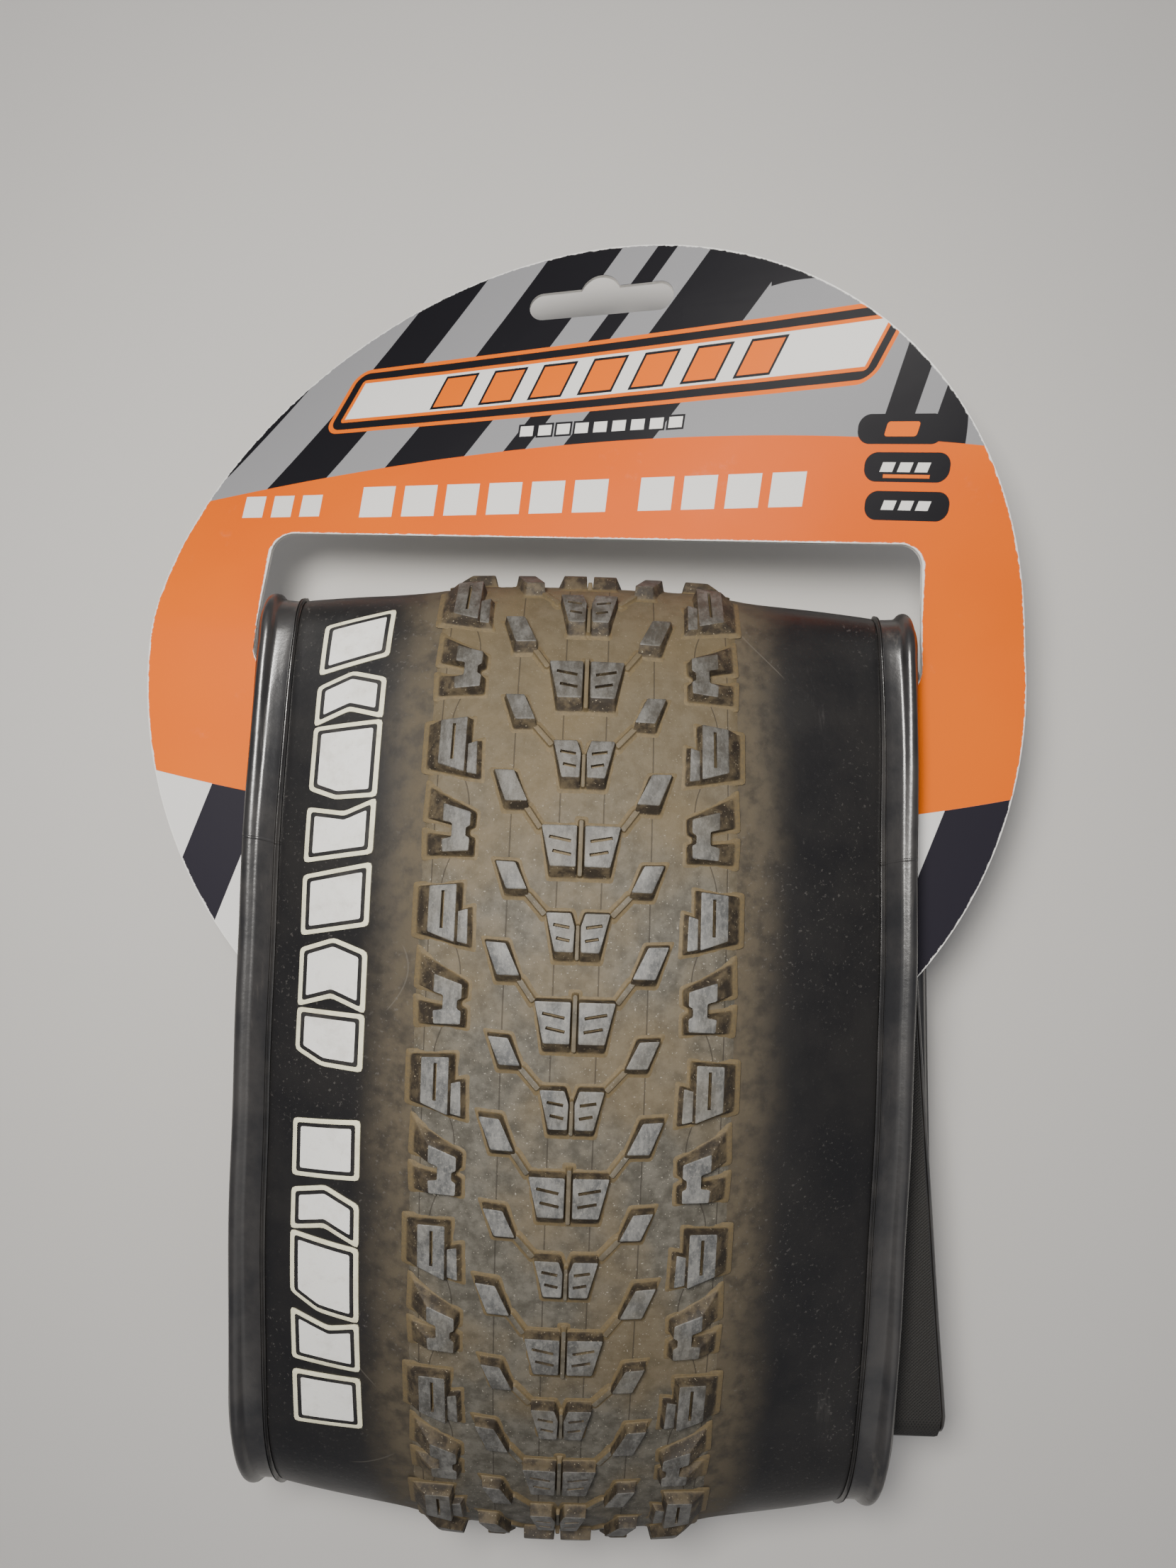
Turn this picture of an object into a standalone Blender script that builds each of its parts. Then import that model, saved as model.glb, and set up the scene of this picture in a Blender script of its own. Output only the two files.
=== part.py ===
"""A folding bicycle tire, packed flat and threaded through its cardboard hang card.

The tire is one closed loop. It lies in eight runs: the front run is arched over
its two taut beads, six runs are folded to and fro behind the card, and the back
run lies on the ground and joins the front run round the lower end. X runs across
the tire, +Y points to the card's hang slot, +Z is the side that faces the buyer,
and the ground is z = 0. The origin is the middle of the whole object's footprint.
"""
import math

import bmesh
import bpy
from mathutils import Vector

MM = 0.001

# Tire, across its width
FRONT_HALF_WIDTH = 70.3 * MM      # beads of the front run, at mid length
END_HALF_WIDTH = 69.2 * MM        # beads where the front run turns at its ends
FLAT_HALF_WIDTH = 76.0 * MM       # beads of the folded runs, pressed flat
BACK_HALF_WIDTH = 74.5 * MM
TREAD_EDGE = 0.43                 # tread's half width as a share of the bead's
LABEL_SPAN = (0.585, 0.795)       # sidewall labels, as shares of the same
LABEL_ROWS = (                    # and their two ends, in knob rows along the front run
    ("label_long", 0.64, 7.2),
    ("label_short", 7.45, 12.35),
)
PLY_EDGE = 0.985                  # edges of the layers, as shares of the bead's half width
BREAKER_EDGE = 0.40
SIDEWALL_EDGE = 0.878
SEAM_HALF_GAP = 0.005             # half of the share left free between tread and sidewall

# Tire, through its thickness, counted from the inner face of the casing
PLY = 0.45 * MM
GAP = 0.30 * MM
PLY_OUTER = PLY + GAP
BREAKER = PLY_OUTER + PLY + GAP
BREAKER_THICKNESS = 0.40 * MM
SIDEWALL_THICKNESS = 0.75 * MM
SIDEWALL = BREAKER
LABEL = SIDEWALL + SIDEWALL_THICKNESS + GAP
LABEL_THICKNESS = 0.25 * MM
TREAD = BREAKER + BREAKER_THICKNESS + GAP
GROOVE_FLOOR = 3.0 * MM
KNOB_TOP = 5.6 * MM
FOLDED_TREAD_TOP = 4.4 * MM       # knobs and grooves of a folded run, as one even band
BEAD_TOP = 5.0 * MM
BEAD_INSIDE = 4.5 * MM            # underside of the rim strip where it arches over the bead

# Sections of the parts in the bead, as (share of the half width, height)
FILLER_SECTION = ((0.900, SIDEWALL), (0.932, SIDEWALL), (0.932, 3.6 * MM))
CORE_SECTION = (
    (0.940, 2.2 * MM), (0.950, 1.6 * MM), (0.972, 1.6 * MM),
    (0.982, 2.2 * MM), (0.976, 4.1 * MM), (0.946, 4.1 * MM),
)
STRIP_SECTION = (
    (0.884, SIDEWALL), (0.892, SIDEWALL), (0.936, BEAD_INSIDE), (0.984, BEAD_INSIDE),
    (0.992, SIDEWALL), (1.0, SIDEWALL), (0.992, BEAD_TOP), (0.928, BEAD_TOP),
)

# How the runs are stacked
FACE_GAP = 1.6 * MM               # between two runs, inside to inside or tread to tread
FOLDED_RUNS = 6

# The object's length, from the wrapped lower end to the card's top
OBJECT_LENGTH = 293.2 * MM
LOWER_END = -OBJECT_LENGTH / 2
CARD_TOP = OBJECT_LENGTH / 2

# Hang card
CARD_RADIUS = 97.1 * MM
CARD_CENTRE_Y = CARD_TOP - CARD_RADIUS
BOARD_THICKNESS = 0.70 * MM
SHEET_THICKNESS = 0.25 * MM
SHEET_GAP = 0.15 * MM
CARD_CLEARANCE = 0.55 * MM        # above the folded run that the card lies on
WINDOW_TOP = 82.5 * MM
WINDOW_BOTTOM = 51.0 * MM
WINDOW_TOP_HALF = 72.0 * MM
WINDOW_BOTTOM_HALF = 74.0 * MM
WINDOW_CORNER = 5.0 * MM
SLOT_WIDTH = 31.75 * MM
SLOT_HEIGHT = 6.2 * MM
SLOT_DROP = 11.6 * MM             # from the card's top to the slot's middle
SLOT_BUMP = 4.6 * MM              # radius of the round notch over the slot's middle
SLOT_BUMP_LIFT = 1.2 * MM         # its centre, above the slot's middle
TWIST_START = 58.0 * MM           # the card is flat below this and twists above it
TWIST_EASE = 12.0 * MM
TWIST_RATE = 4.7                  # slope per metre across, for each metre along
CARD_CUTS_Y = (66.0 * MM, 78.0 * MM, 92.0 * MM, 112.0 * MM)      # so that it can twist
CARD_CUTS_X = (-62.0 * MM, -32.0 * MM, 0.0, 32.0 * MM, 62.0 * MM)

# Front run and the lower end it wraps round
CREST_Y = -26.5 * MM              # highest point of the arched tread
CREST_Z = 81.4 * MM
UPPER_TREAD_Y = 68.1 * MM         # where the tread turns under, at the upper end
UPPER_TREAD_Z = 52.0 * MM
LOWER_TREAD_Z = 30.0 * MM
LOWER_TREAD_Y = LOWER_END + KNOB_TOP
UPPER_BEAD_Y = 57.3 * MM          # centre of the beads' turn at the upper end
FRONT_BEAD_Z = 60.0 * MM
LOWER_BEAD_Y = -102.5 * MM        # centre of the beads' turn at the lower end
BACK_TREAD_Y = -112.0 * MM        # where the tread leaves the ground
FRONT_PITCHES = 15                # knob rows along the front run
WRAP_PITCHES = 3
BACK_PITCHES = 10
CARD_SIDE_BEND = (0.20, 0.42, 1.36)   # extra stations where the tread turns under, in pitches
LOWER_BEND_PITCHES = 4            # pitches of the front run that get a station at each knob

# Ends of the folded runs
UPPER_FOLD_TREAD_Y = 57.0 * MM
UPPER_FOLD_BEAD_Y = 53.0 * MM
LOWER_FOLD_Y = (-103.0 * MM, -106.5 * MM, -110.3 * MM)   # bottom, middle and top fold
LOWER_FOLD_SHIFT = (5.0 * MM, 7.5 * MM, 9.5 * MM)        # how far each leans to +X
UPPER_FOLD_SHIFT = (0.0, 1.0 * MM, 1.5 * MM)

# Knobs: where they lie across the tread, and how much of a pitch they fill
SIDE_KNOB = (0.295, 0.405)
CENTRE_KNOB = (0.025, 0.215)
KNOB_LENGTH = 0.64
KNOB_TAPER = 0.90

HALF_COLUMNS = (TREAD_EDGE, 0.68, 0.88, 1.0)
COLUMNS = tuple(-share for share in reversed(HALF_COLUMNS)) + (0.0,) + HALF_COLUMNS

COLOURS = {
    "tread": ((0.045, 0.043, 0.040), 0.75),
    "sidewall": ((0.020, 0.020, 0.021), 0.55),
    "fabric": ((0.10, 0.09, 0.07), 0.85),
    "aramid": ((0.62, 0.50, 0.16), 0.60),
    "label": ((0.80, 0.78, 0.70), 0.50),
    "board": ((0.80, 0.79, 0.76), 0.85),
    "print": ((0.90, 0.30, 0.02), 0.40),
}


def clear_scene():
    for old in list(bpy.data.objects):
        bpy.data.objects.remove(old, do_unlink=True)


def make_material(name):
    colour, roughness = COLOURS[name]
    material = bpy.data.materials.get(name) or bpy.data.materials.new(name)
    material.use_nodes = True
    shader = material.node_tree.nodes["Principled BSDF"]
    shader.inputs["Base Color"].default_value = (*colour, 1.0)
    shader.inputs["Roughness"].default_value = roughness
    shader.inputs["Metallic"].default_value = 0.0
    return material


def add_object(name, bm, material):
    bmesh.ops.triangulate(bm, faces=list(bm.faces))
    bmesh.ops.recalc_face_normals(bm, faces=list(bm.faces))
    if bm.calc_volume(signed=True) < 0:
        bmesh.ops.reverse_faces(bm, faces=list(bm.faces))
    mesh = bpy.data.meshes.new(name)
    bm.to_mesh(mesh)
    bm.free()
    mesh.materials.append(make_material(material))
    obj = bpy.data.objects.new(name, mesh)
    bpy.context.scene.collection.objects.link(obj)
    return obj


# The loop: each stretch gives the middle of the tread and the bead as (y, z) points

def quarter(centre, reach, start, steps):
    """Points on a quarter ellipse; start counts quarter turns from +Y towards +Z."""
    points = []
    for step in range(steps + 1):
        angle = math.radians(90.0 * (start + step / steps))
        y = centre[0] + reach[0] * math.cos(angle)
        z = centre[1] + reach[1] * math.sin(angle)
        points.append((y, z))
    return points


def points_at(points, shares):
    """Points of the same line at the given shares of its length."""
    lengths = [0.0]
    for a, b in zip(points, points[1:]):
        lengths.append(lengths[-1] + math.dist(a, b))
    result = []
    for share in shares:
        target = lengths[-1] * share
        index = max(i for i, at in enumerate(lengths[:-1]) if at <= target + 1e-12)
        part = (target - lengths[index]) / (lengths[index + 1] - lengths[index])
        a, b = points[index], points[index + 1]
        result.append((a[0] + (b[0] - a[0]) * part, a[1] + (b[1] - a[1]) * part))
    return result


def run_height(index):
    """Height of the casing's inner face in a flat run; run 0 lies on the ground."""
    pair = index // 2
    height = KNOB_TOP + pair * 2 * (KNOB_TOP + FACE_GAP)
    return height + FACE_GAP if index % 2 else height


def stretch(tread, bead, width, shift, pitches=None):
    """Stations along one stretch, without its last point, where the next one starts.

    width and shift are given at the two ends. pitches holds how many knob rows lie
    before each point, and is left out where the tread is folded away.
    """
    stations = []
    for i in range(len(tread) - 1):
        share = pitches[i] / pitches[-1] if pitches else i / (len(tread) - 1)
        stations.append({
            "tread": tread[i],
            "bead": bead[i],
            "half": width[0] + (width[1] - width[0]) * share,
            "shift": shift[0] + (shift[1] - shift[0]) * share,
            "row": pitches[i] if pitches else None,
            "rows": pitches[-1] if pitches else 0,
        })
    return stations


def front_stations():
    upper_reach = (UPPER_TREAD_Y - CREST_Y, CREST_Z - UPPER_TREAD_Z)
    lower_reach = (CREST_Y - LOWER_TREAD_Y, CREST_Z - LOWER_TREAD_Z)
    tread = quarter((CREST_Y, UPPER_TREAD_Z), upper_reach, 0, 60)
    tread += quarter((CREST_Y, LOWER_TREAD_Z), lower_reach, 1, 60)[1:]
    card_side = run_height(FOLDED_RUNS)
    upper_radius = (FRONT_BEAD_Z - card_side) / 2
    lower_radius = (FRONT_BEAD_Z - run_height(0)) / 2
    bead = quarter((UPPER_BEAD_Y, card_side + upper_radius), (upper_radius,) * 2, 0, 12)
    lower_centre = (LOWER_BEAD_Y, run_height(0) + lower_radius)
    bead += quarter(lower_centre, (lower_radius,) * 2, 1, 12)
    knob_ends = [i + KNOB_LENGTH for i in range(FRONT_PITCHES)]
    pitches = set(range(FRONT_PITCHES + 1)) | set(CARD_SIDE_BEND)
    pitches |= set(knob_ends[:1] + knob_ends[-LOWER_BEND_PITCHES:])
    pitches |= {end for label in LABEL_ROWS for end in label[1:]}
    pitches = sorted(pitches)
    shares = [pitch / FRONT_PITCHES for pitch in pitches]
    tread = points_at(tread, shares)
    bead = points_at(bead, shares)
    stations = stretch(tread, bead, (END_HALF_WIDTH,) * 2, (0.0, 0.0), pitches)
    for share, station in zip(shares, stations):
        rise = math.sin(math.pi * share)
        station["half"] += (FRONT_HALF_WIDTH - END_HALF_WIDTH) * rise
    return stations


def wrap_stations():
    """The lower end, from its outermost point down to the ground."""
    reach = (BACK_TREAD_Y - LOWER_TREAD_Y, LOWER_TREAD_Z - run_height(0))
    tread = quarter((BACK_TREAD_Y, LOWER_TREAD_Z), reach, 2, 24)
    radius = (FRONT_BEAD_Z - run_height(0)) / 2
    bead = quarter((LOWER_BEAD_Y, run_height(0) + radius), (radius, radius), 2, 24)
    pitches = sorted([i for i in range(WRAP_PITCHES + 1)]
                     + [i + KNOB_LENGTH for i in range(WRAP_PITCHES)])
    shares = [pitch / WRAP_PITCHES for pitch in pitches]
    tread = points_at(tread, shares)
    bead = points_at(bead, shares)
    return stretch(tread, bead, (END_HALF_WIDTH, BACK_HALF_WIDTH), (0.0, 0.0), pitches)


def straight(start_y, end_y, z, steps):
    return [(start_y + (end_y - start_y) * i / steps, z) for i in range(steps + 1)]


def half_turn(centre_y, low_z, high_z, side, steps):
    """Points up a half circle from low_z to high_z that bulges to +Y or -Y."""
    radius = (high_z - low_z) / 2
    points = []
    for i in range(steps + 1):
        angle = math.pi * i / steps
        y = centre_y + side * radius * math.sin(angle)
        points.append((y, low_z + radius - radius * math.cos(angle)))
    return points


def folded_stations():
    """The back run, then the folded runs from the lowest up to the card."""
    stations = []
    flat = (FLAT_HALF_WIDTH, FLAT_HALF_WIDTH)
    tread = straight(BACK_TREAD_Y, UPPER_FOLD_TREAD_Y, run_height(0), 1)
    bead = straight(LOWER_BEAD_Y, UPPER_FOLD_BEAD_Y, run_height(0), 1)
    width = (BACK_HALF_WIDTH, FLAT_HALF_WIDTH)
    stations += stretch(tread, bead, width, (0.0, 0.0), (0, BACK_PITCHES))
    for fold in range(FOLDED_RUNS // 2):
        low = run_height(2 * fold)
        down = run_height(2 * fold + 1)
        up = run_height(2 * fold + 2)
        top_shift = UPPER_FOLD_SHIFT[fold]
        side_shift = LOWER_FOLD_SHIFT[fold]
        last = fold == FOLDED_RUNS // 2 - 1
        next_shift = 0.0 if last else UPPER_FOLD_SHIFT[fold + 1]
        tread = half_turn(UPPER_FOLD_TREAD_Y, low, down, 1, 3)
        bead = half_turn(UPPER_FOLD_BEAD_Y, low, down, 1, 3)
        stations += stretch(tread, bead, flat, (top_shift, top_shift))
        tread = straight(UPPER_FOLD_TREAD_Y, LOWER_FOLD_Y[fold], down, 1)
        bead = straight(UPPER_FOLD_BEAD_Y, LOWER_FOLD_Y[fold], down, 1)
        stations += stretch(tread, bead, flat, (top_shift, side_shift))
        turn = half_turn(LOWER_FOLD_Y[fold], down, up, -1, 5)
        stations += stretch(turn, turn, flat, (side_shift, side_shift))
        tread_end = UPPER_TREAD_Y - (UPPER_TREAD_Z - up) if last else UPPER_FOLD_TREAD_Y
        bead_end = UPPER_BEAD_Y if last else UPPER_FOLD_BEAD_Y
        width = (FLAT_HALF_WIDTH, END_HALF_WIDTH) if last else flat
        steps = 2 if last else 1
        tread = straight(LOWER_FOLD_Y[fold], tread_end, up, steps)
        bead = straight(LOWER_FOLD_Y[fold], bead_end, up, steps)
        stations += stretch(tread, bead, width, (side_shift, next_shift))
    return stations


def turn_in_stations():
    """From the run under the card up through the window to the front run's start."""
    level = run_height(FOLDED_RUNS)
    tread_radius = UPPER_TREAD_Z - level
    centre = (UPPER_TREAD_Y - tread_radius, UPPER_TREAD_Z)
    tread = quarter(centre, (tread_radius, tread_radius), 3, 2)
    bead_radius = (FRONT_BEAD_Z - level) / 2
    bead = quarter((UPPER_BEAD_Y, level + bead_radius), (bead_radius, bead_radius), 3, 2)
    return stretch(tread, bead, (END_HALF_WIDTH,) * 2, (0.0, 0.0))


def all_stations():
    return front_stations() + wrap_stations() + folded_stations() + turn_in_stations()


def casing_grid(stations):
    """Inner face of the casing and its outward direction, at each station and column."""
    grid = []
    for s in stations:
        row = []
        for share in COLUMNS:
            y = s["tread"][0] + (s["bead"][0] - s["tread"][0]) * share * share
            z = s["tread"][1] + (s["bead"][1] - s["tread"][1]) * share * share
            row.append(Vector((s["shift"] + s["half"] * share, y, z)))
        grid.append(row)
    normals = []
    count = len(grid)
    last = len(COLUMNS) - 1
    for i in range(count):
        row = []
        for j in range(last + 1):
            before = (grid[i][j] - grid[i - 1][j]).normalized()
            after = (grid[(i + 1) % count][j] - grid[i][j]).normalized()
            along = (before + after).normalized()
            across = grid[i][min(j + 1, last)] - grid[i][max(j - 1, 0)]
            row.append(across.cross(along).normalized() * -1.0)
        normals.append(row)
    return grid, normals


class Casing:
    """Finds points above the casing's inner face."""

    def __init__(self, stations):
        self.stations = stations
        self.grid, self.normals = casing_grid(stations)

    def column_point(self, index, share, height):
        column = max(j for j in range(len(COLUMNS) - 1) if COLUMNS[j] <= share + 1e-9)
        part = (share - COLUMNS[column]) / (COLUMNS[column + 1] - COLUMNS[column])
        base = self.grid[index][column].lerp(self.grid[index][column + 1], part)
        outward = self.normals[index][column].lerp(self.normals[index][column + 1], part)
        return base + outward * height

    def point(self, at, share, height):
        """at is a station number, and may lie between two stations."""
        count = len(self.stations)
        index = int(math.floor(at + 1e-9))
        part = at - index
        here = self.column_point(index % count, share, height)
        if part < 1e-9:
            return here
        return here.lerp(self.column_point((index + 1) % count, share, height), part)


def strip_profile(inner_share, outer_share, low, high):
    """A flat strip's section: out along its upper face and back along the lower one."""
    between = [c for c in COLUMNS if inner_share + 1e-6 < c < outer_share - 1e-6]
    line = [inner_share] + between + [outer_share]
    upper = [(share, high) for share in line]
    lower = [(share, low) for share in reversed(line)]
    return upper + lower


def mirrored(profile):
    return [(-share, height) for share, height in reversed(profile)]


def sweep(casing, positions, profile, closed=True):
    """Carries a section along the loop; a stretch that isn't closed gets end caps."""
    bm = bmesh.new()
    rings = []
    for at in positions:
        ring = [bm.verts.new(casing.point(at, share, height)) for share, height in profile]
        rings.append(ring)
    size = len(profile)
    spans = len(rings) if closed else len(rings) - 1
    for i in range(spans):
        here = rings[i]
        there = rings[(i + 1) % len(rings)]
        for j in range(size):
            k = (j + 1) % size
            if profile[k][0] >= profile[j][0]:
                bm.faces.new((here[j], here[k], there[k]))
                bm.faces.new((here[j], there[k], there[j]))
            else:
                bm.faces.new((here[j], here[k], there[j]))
                bm.faces.new((here[k], there[k], there[j]))
    if not closed:
        bm.faces.new(rings[0])
        bm.faces.new(rings[-1])
    return bm


def build_layer(casing, name, material, profile):
    positions = range(len(casing.stations))
    return add_object(name, sweep(casing, positions, profile), material)


def build_plies(casing):
    inner = strip_profile(-PLY_EDGE, PLY_EDGE, 0.0, PLY)
    build_layer(casing, "casing_ply_inner", "fabric", inner)
    outer = strip_profile(-PLY_EDGE, PLY_EDGE, PLY_OUTER, PLY_OUTER + PLY)
    build_layer(casing, "casing_ply_outer", "fabric", outer)
    breaker = strip_profile(-BREAKER_EDGE, BREAKER_EDGE, BREAKER, BREAKER + BREAKER_THICKNESS)
    build_layer(casing, "breaker_strip", "fabric", breaker)


def build_sidewalls(casing):
    """Sidewall rubber, bead filler, aramid bead core and rim strip on both sides."""
    top = SIDEWALL + SIDEWALL_THICKNESS
    inner_edge = TREAD_EDGE + SEAM_HALF_GAP
    pieces = (
        ("sidewall", "sidewall", strip_profile(inner_edge, SIDEWALL_EDGE, SIDEWALL, top)),
        ("bead_filler", "sidewall", FILLER_SECTION),
        ("bead_core", "aramid", CORE_SECTION),
        ("rim_strip", "sidewall", STRIP_SECTION),
    )
    for name, material, profile in pieces:
        build_layer(casing, name + "_right", material, profile)
        build_layer(casing, name + "_left", material, mirrored(profile))


def tread_rings(casing):
    """Where the tread's sections stand, and the height of the band at each one.

    Every knob row has a section at its start and at its end, besides the stations.
    The last value is the number of the knob row that begins or goes on there.
    """
    rings = []
    row_number = 0
    for index, station in enumerate(casing.stations):
        if station["row"] is None:
            rings.append((index, FOLDED_TREAD_TOP, None))
            continue
        following = casing.stations[(index + 1) % len(casing.stations)]
        start = station["row"]
        end = following["row"] or station["rows"]
        wanted = {start}
        for row in range(station["rows"]):
            wanted |= {at for at in (row, row + KNOB_LENGTH) if start < at < end}
        for at in sorted(wanted):
            if at == math.floor(at):
                row_number += 1
            on_knob = at - math.floor(at) < KNOB_LENGTH - 1e-9
            share = (at - start) / (end - start)
            rings.append((index + share, GROOVE_FLOOR, row_number if on_knob else None))
    return rings


def build_tread(casing):
    """One moulded band: a base with a block raised on each knob cell."""
    edge = TREAD_EDGE - SEAM_HALF_GAP
    half_line = (0.0,) + CENTRE_KNOB + SIDE_KNOB + (edge,)
    outer_line = [-share for share in reversed(half_line[1:])] + list(half_line)
    inner_line = [-edge, 0.0, edge]
    bm = bmesh.new()
    rings = []
    for at, top, row in tread_rings(casing):
        ring = [bm.verts.new(casing.point(at, share, top)) for share in outer_line]
        ring += [bm.verts.new(casing.point(at, share, TREAD)) for share in reversed(inner_line)]
        rings.append((ring, row))
    knobs = {}
    for i, (here, row) in enumerate(rings):
        there = rings[(i + 1) % len(rings)][0]
        for j in range(len(here)):
            k = (j + 1) % len(here)
            face = bm.faces.new((here[j], here[k], there[k], there[j]))
            if row is None or j + 1 >= len(outer_line):
                continue
            middle = abs(outer_line[j] + outer_line[k]) / 2
            if any(low < middle < high for low, high in (SIDE_KNOB, CENTRE_KNOB)):
                knobs.setdefault((row, j), []).append(face)
    bmesh.ops.recalc_face_normals(bm, faces=list(bm.faces))
    if bm.calc_volume(signed=True) < 0:
        bmesh.ops.reverse_faces(bm, faces=list(bm.faces))
    for faces in knobs.values():
        raise_knob(bm, faces)
    return add_object("tread_band", bm, "tread")


def raise_knob(bm, faces):
    direction = sum((face.normal for face in faces), Vector()).normalized()
    raised = bmesh.ops.extrude_face_region(bm, geom=faces)["geom"]
    verts = [v for v in raised if isinstance(v, bmesh.types.BMVert)]
    centre = sum((v.co for v in verts), Vector()) / len(verts)
    bmesh.ops.delete(bm, geom=faces, context="FACES_ONLY")
    for vert in verts:
        lift = direction * (KNOB_TOP - GROOVE_FLOOR)
        vert.co = centre + (vert.co - centre) * KNOB_TAPER + lift


def build_labels(casing):
    """Two cloth-backed labels on the front run's left sidewall."""
    profile = mirrored(strip_profile(*LABEL_SPAN, LABEL, LABEL + LABEL_THICKNESS))
    rows = [station["row"] for station in casing.stations]
    for name, first, last in LABEL_ROWS:
        reach = range(rows.index(first), rows.index(last) + 1)
        bm = sweep(casing, reach, profile, closed=False)
        add_object(name, bm, "label")


# Hang card

def arc(centre, radius, start, end, steps):
    """Points on an arc, angles in degrees from +X."""
    points = []
    for i in range(steps + 1):
        angle = math.radians(start + (end - start) * i / steps)
        points.append((centre[0] + radius * math.cos(angle), centre[1] + radius * math.sin(angle)))
    return points


def card_outline():
    return arc((0.0, CARD_CENTRE_Y), CARD_RADIUS, 0, 360, 60)[:-1]


def window_outline():
    points = []
    c = WINDOW_CORNER
    corners = (
        (WINDOW_TOP_HALF - c, WINDOW_TOP - c, 0),
        (c - WINDOW_TOP_HALF, WINDOW_TOP - c, 90),
        (c - WINDOW_BOTTOM_HALF, WINDOW_BOTTOM + c, 180),
        (WINDOW_BOTTOM_HALF - c, WINDOW_BOTTOM + c, 270),
    )
    for x, y, start in corners:
        points += arc((x, y), c, start, start + 90, 3)
    return points


def slot_outline():
    """A long slot with round ends and a round notch over its middle."""
    y = CARD_TOP - SLOT_DROP
    half = SLOT_HEIGHT / 2
    reach = SLOT_WIDTH / 2 - half
    lift = math.degrees(math.asin((half - SLOT_BUMP_LIFT) / SLOT_BUMP))
    points = arc((reach, y), half, -90, 90, 5)
    points += arc((0.0, y + SLOT_BUMP_LIFT), SLOT_BUMP, lift, 180 - lift, 6)
    points += arc((-reach, y), half, 90, 270, 5)
    return points


def twist(x, y):
    past = max(0.0, y - TWIST_START)
    return TWIST_RATE * x * past * past / (past + TWIST_EASE)


def card_layer(name, material, low, high):
    """One layer of the card, between two heights above the card's flat underside."""
    bm = bmesh.new()
    edges = []
    for outline in (card_outline(), window_outline(), slot_outline()):
        verts = [bm.verts.new((x, y, low)) for x, y in outline]
        for i, vert in enumerate(verts):
            edges.append(bm.edges.new((vert, verts[(i + 1) % len(verts)])))
    filled = bmesh.ops.triangle_fill(bm, use_beauty=True, use_dissolve=False, edges=edges)
    faces = [f for f in filled["geom"] if isinstance(f, bmesh.types.BMFace)]
    raised = bmesh.ops.extrude_face_region(bm, geom=faces)["geom"]
    for vert in (v for v in raised if isinstance(v, bmesh.types.BMVert)):
        vert.co.z = high
    cuts = [((0.0, y, 0.0), (0.0, 1.0, 0.0)) for y in CARD_CUTS_Y]
    cuts += [((x, 0.0, 0.0), (1.0, 0.0, 0.0)) for x in CARD_CUTS_X]
    for point, direction in cuts:
        geometry = list(bm.verts) + list(bm.edges) + list(bm.faces)
        bmesh.ops.bisect_plane(bm, geom=geometry, dist=1e-6, plane_co=point, plane_no=direction)
    for vert in bm.verts:
        vert.co.z += twist(vert.co.x, vert.co.y)
    return add_object(name, bm, material)


def build_card():
    under = run_height(FOLDED_RUNS) + CARD_CLEARANCE
    board = under + SHEET_THICKNESS + SHEET_GAP
    front = board + BOARD_THICKNESS + SHEET_GAP
    card_layer("card_back_sheet", "board", under, under + SHEET_THICKNESS)
    card_layer("card_board", "board", board, board + BOARD_THICKNESS)
    card_layer("card_front_sheet", "print", front, front + SHEET_THICKNESS)


def main():
    clear_scene()
    casing = Casing(all_stations())
    build_plies(casing)
    build_tread(casing)
    build_sidewalls(casing)
    build_labels(casing)
    build_card()


main()
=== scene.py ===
# A folding mountain bike tire, packed flat and threaded through its round hang card.
import math
from functools import reduce

import bmesh
import bpy
import numpy as np
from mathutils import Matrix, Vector
from mathutils.geometry import tessellate_polygon


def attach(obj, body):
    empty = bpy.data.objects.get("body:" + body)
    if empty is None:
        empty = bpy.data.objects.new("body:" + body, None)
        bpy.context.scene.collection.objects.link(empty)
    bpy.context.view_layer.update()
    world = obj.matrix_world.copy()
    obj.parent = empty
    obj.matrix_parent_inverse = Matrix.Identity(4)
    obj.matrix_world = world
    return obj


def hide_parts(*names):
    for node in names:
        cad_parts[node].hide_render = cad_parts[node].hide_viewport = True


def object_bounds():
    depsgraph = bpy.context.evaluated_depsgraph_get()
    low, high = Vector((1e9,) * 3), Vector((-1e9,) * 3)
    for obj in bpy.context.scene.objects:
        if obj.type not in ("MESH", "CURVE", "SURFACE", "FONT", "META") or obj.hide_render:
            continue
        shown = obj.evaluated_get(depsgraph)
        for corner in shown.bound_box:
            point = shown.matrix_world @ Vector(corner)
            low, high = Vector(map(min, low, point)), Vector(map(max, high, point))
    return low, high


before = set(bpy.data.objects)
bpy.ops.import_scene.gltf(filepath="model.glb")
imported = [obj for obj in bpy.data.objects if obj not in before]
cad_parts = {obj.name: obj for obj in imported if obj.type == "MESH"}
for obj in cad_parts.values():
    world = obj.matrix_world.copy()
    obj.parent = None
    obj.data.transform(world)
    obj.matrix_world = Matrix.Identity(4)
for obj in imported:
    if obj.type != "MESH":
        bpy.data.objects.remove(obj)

mm = 0.001
cadLow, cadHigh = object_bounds()
print("frame loaded, box", [round(v, 4) for v in cadHigh - cadLow])


# Small helpers for meshes and shader nodes

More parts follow.
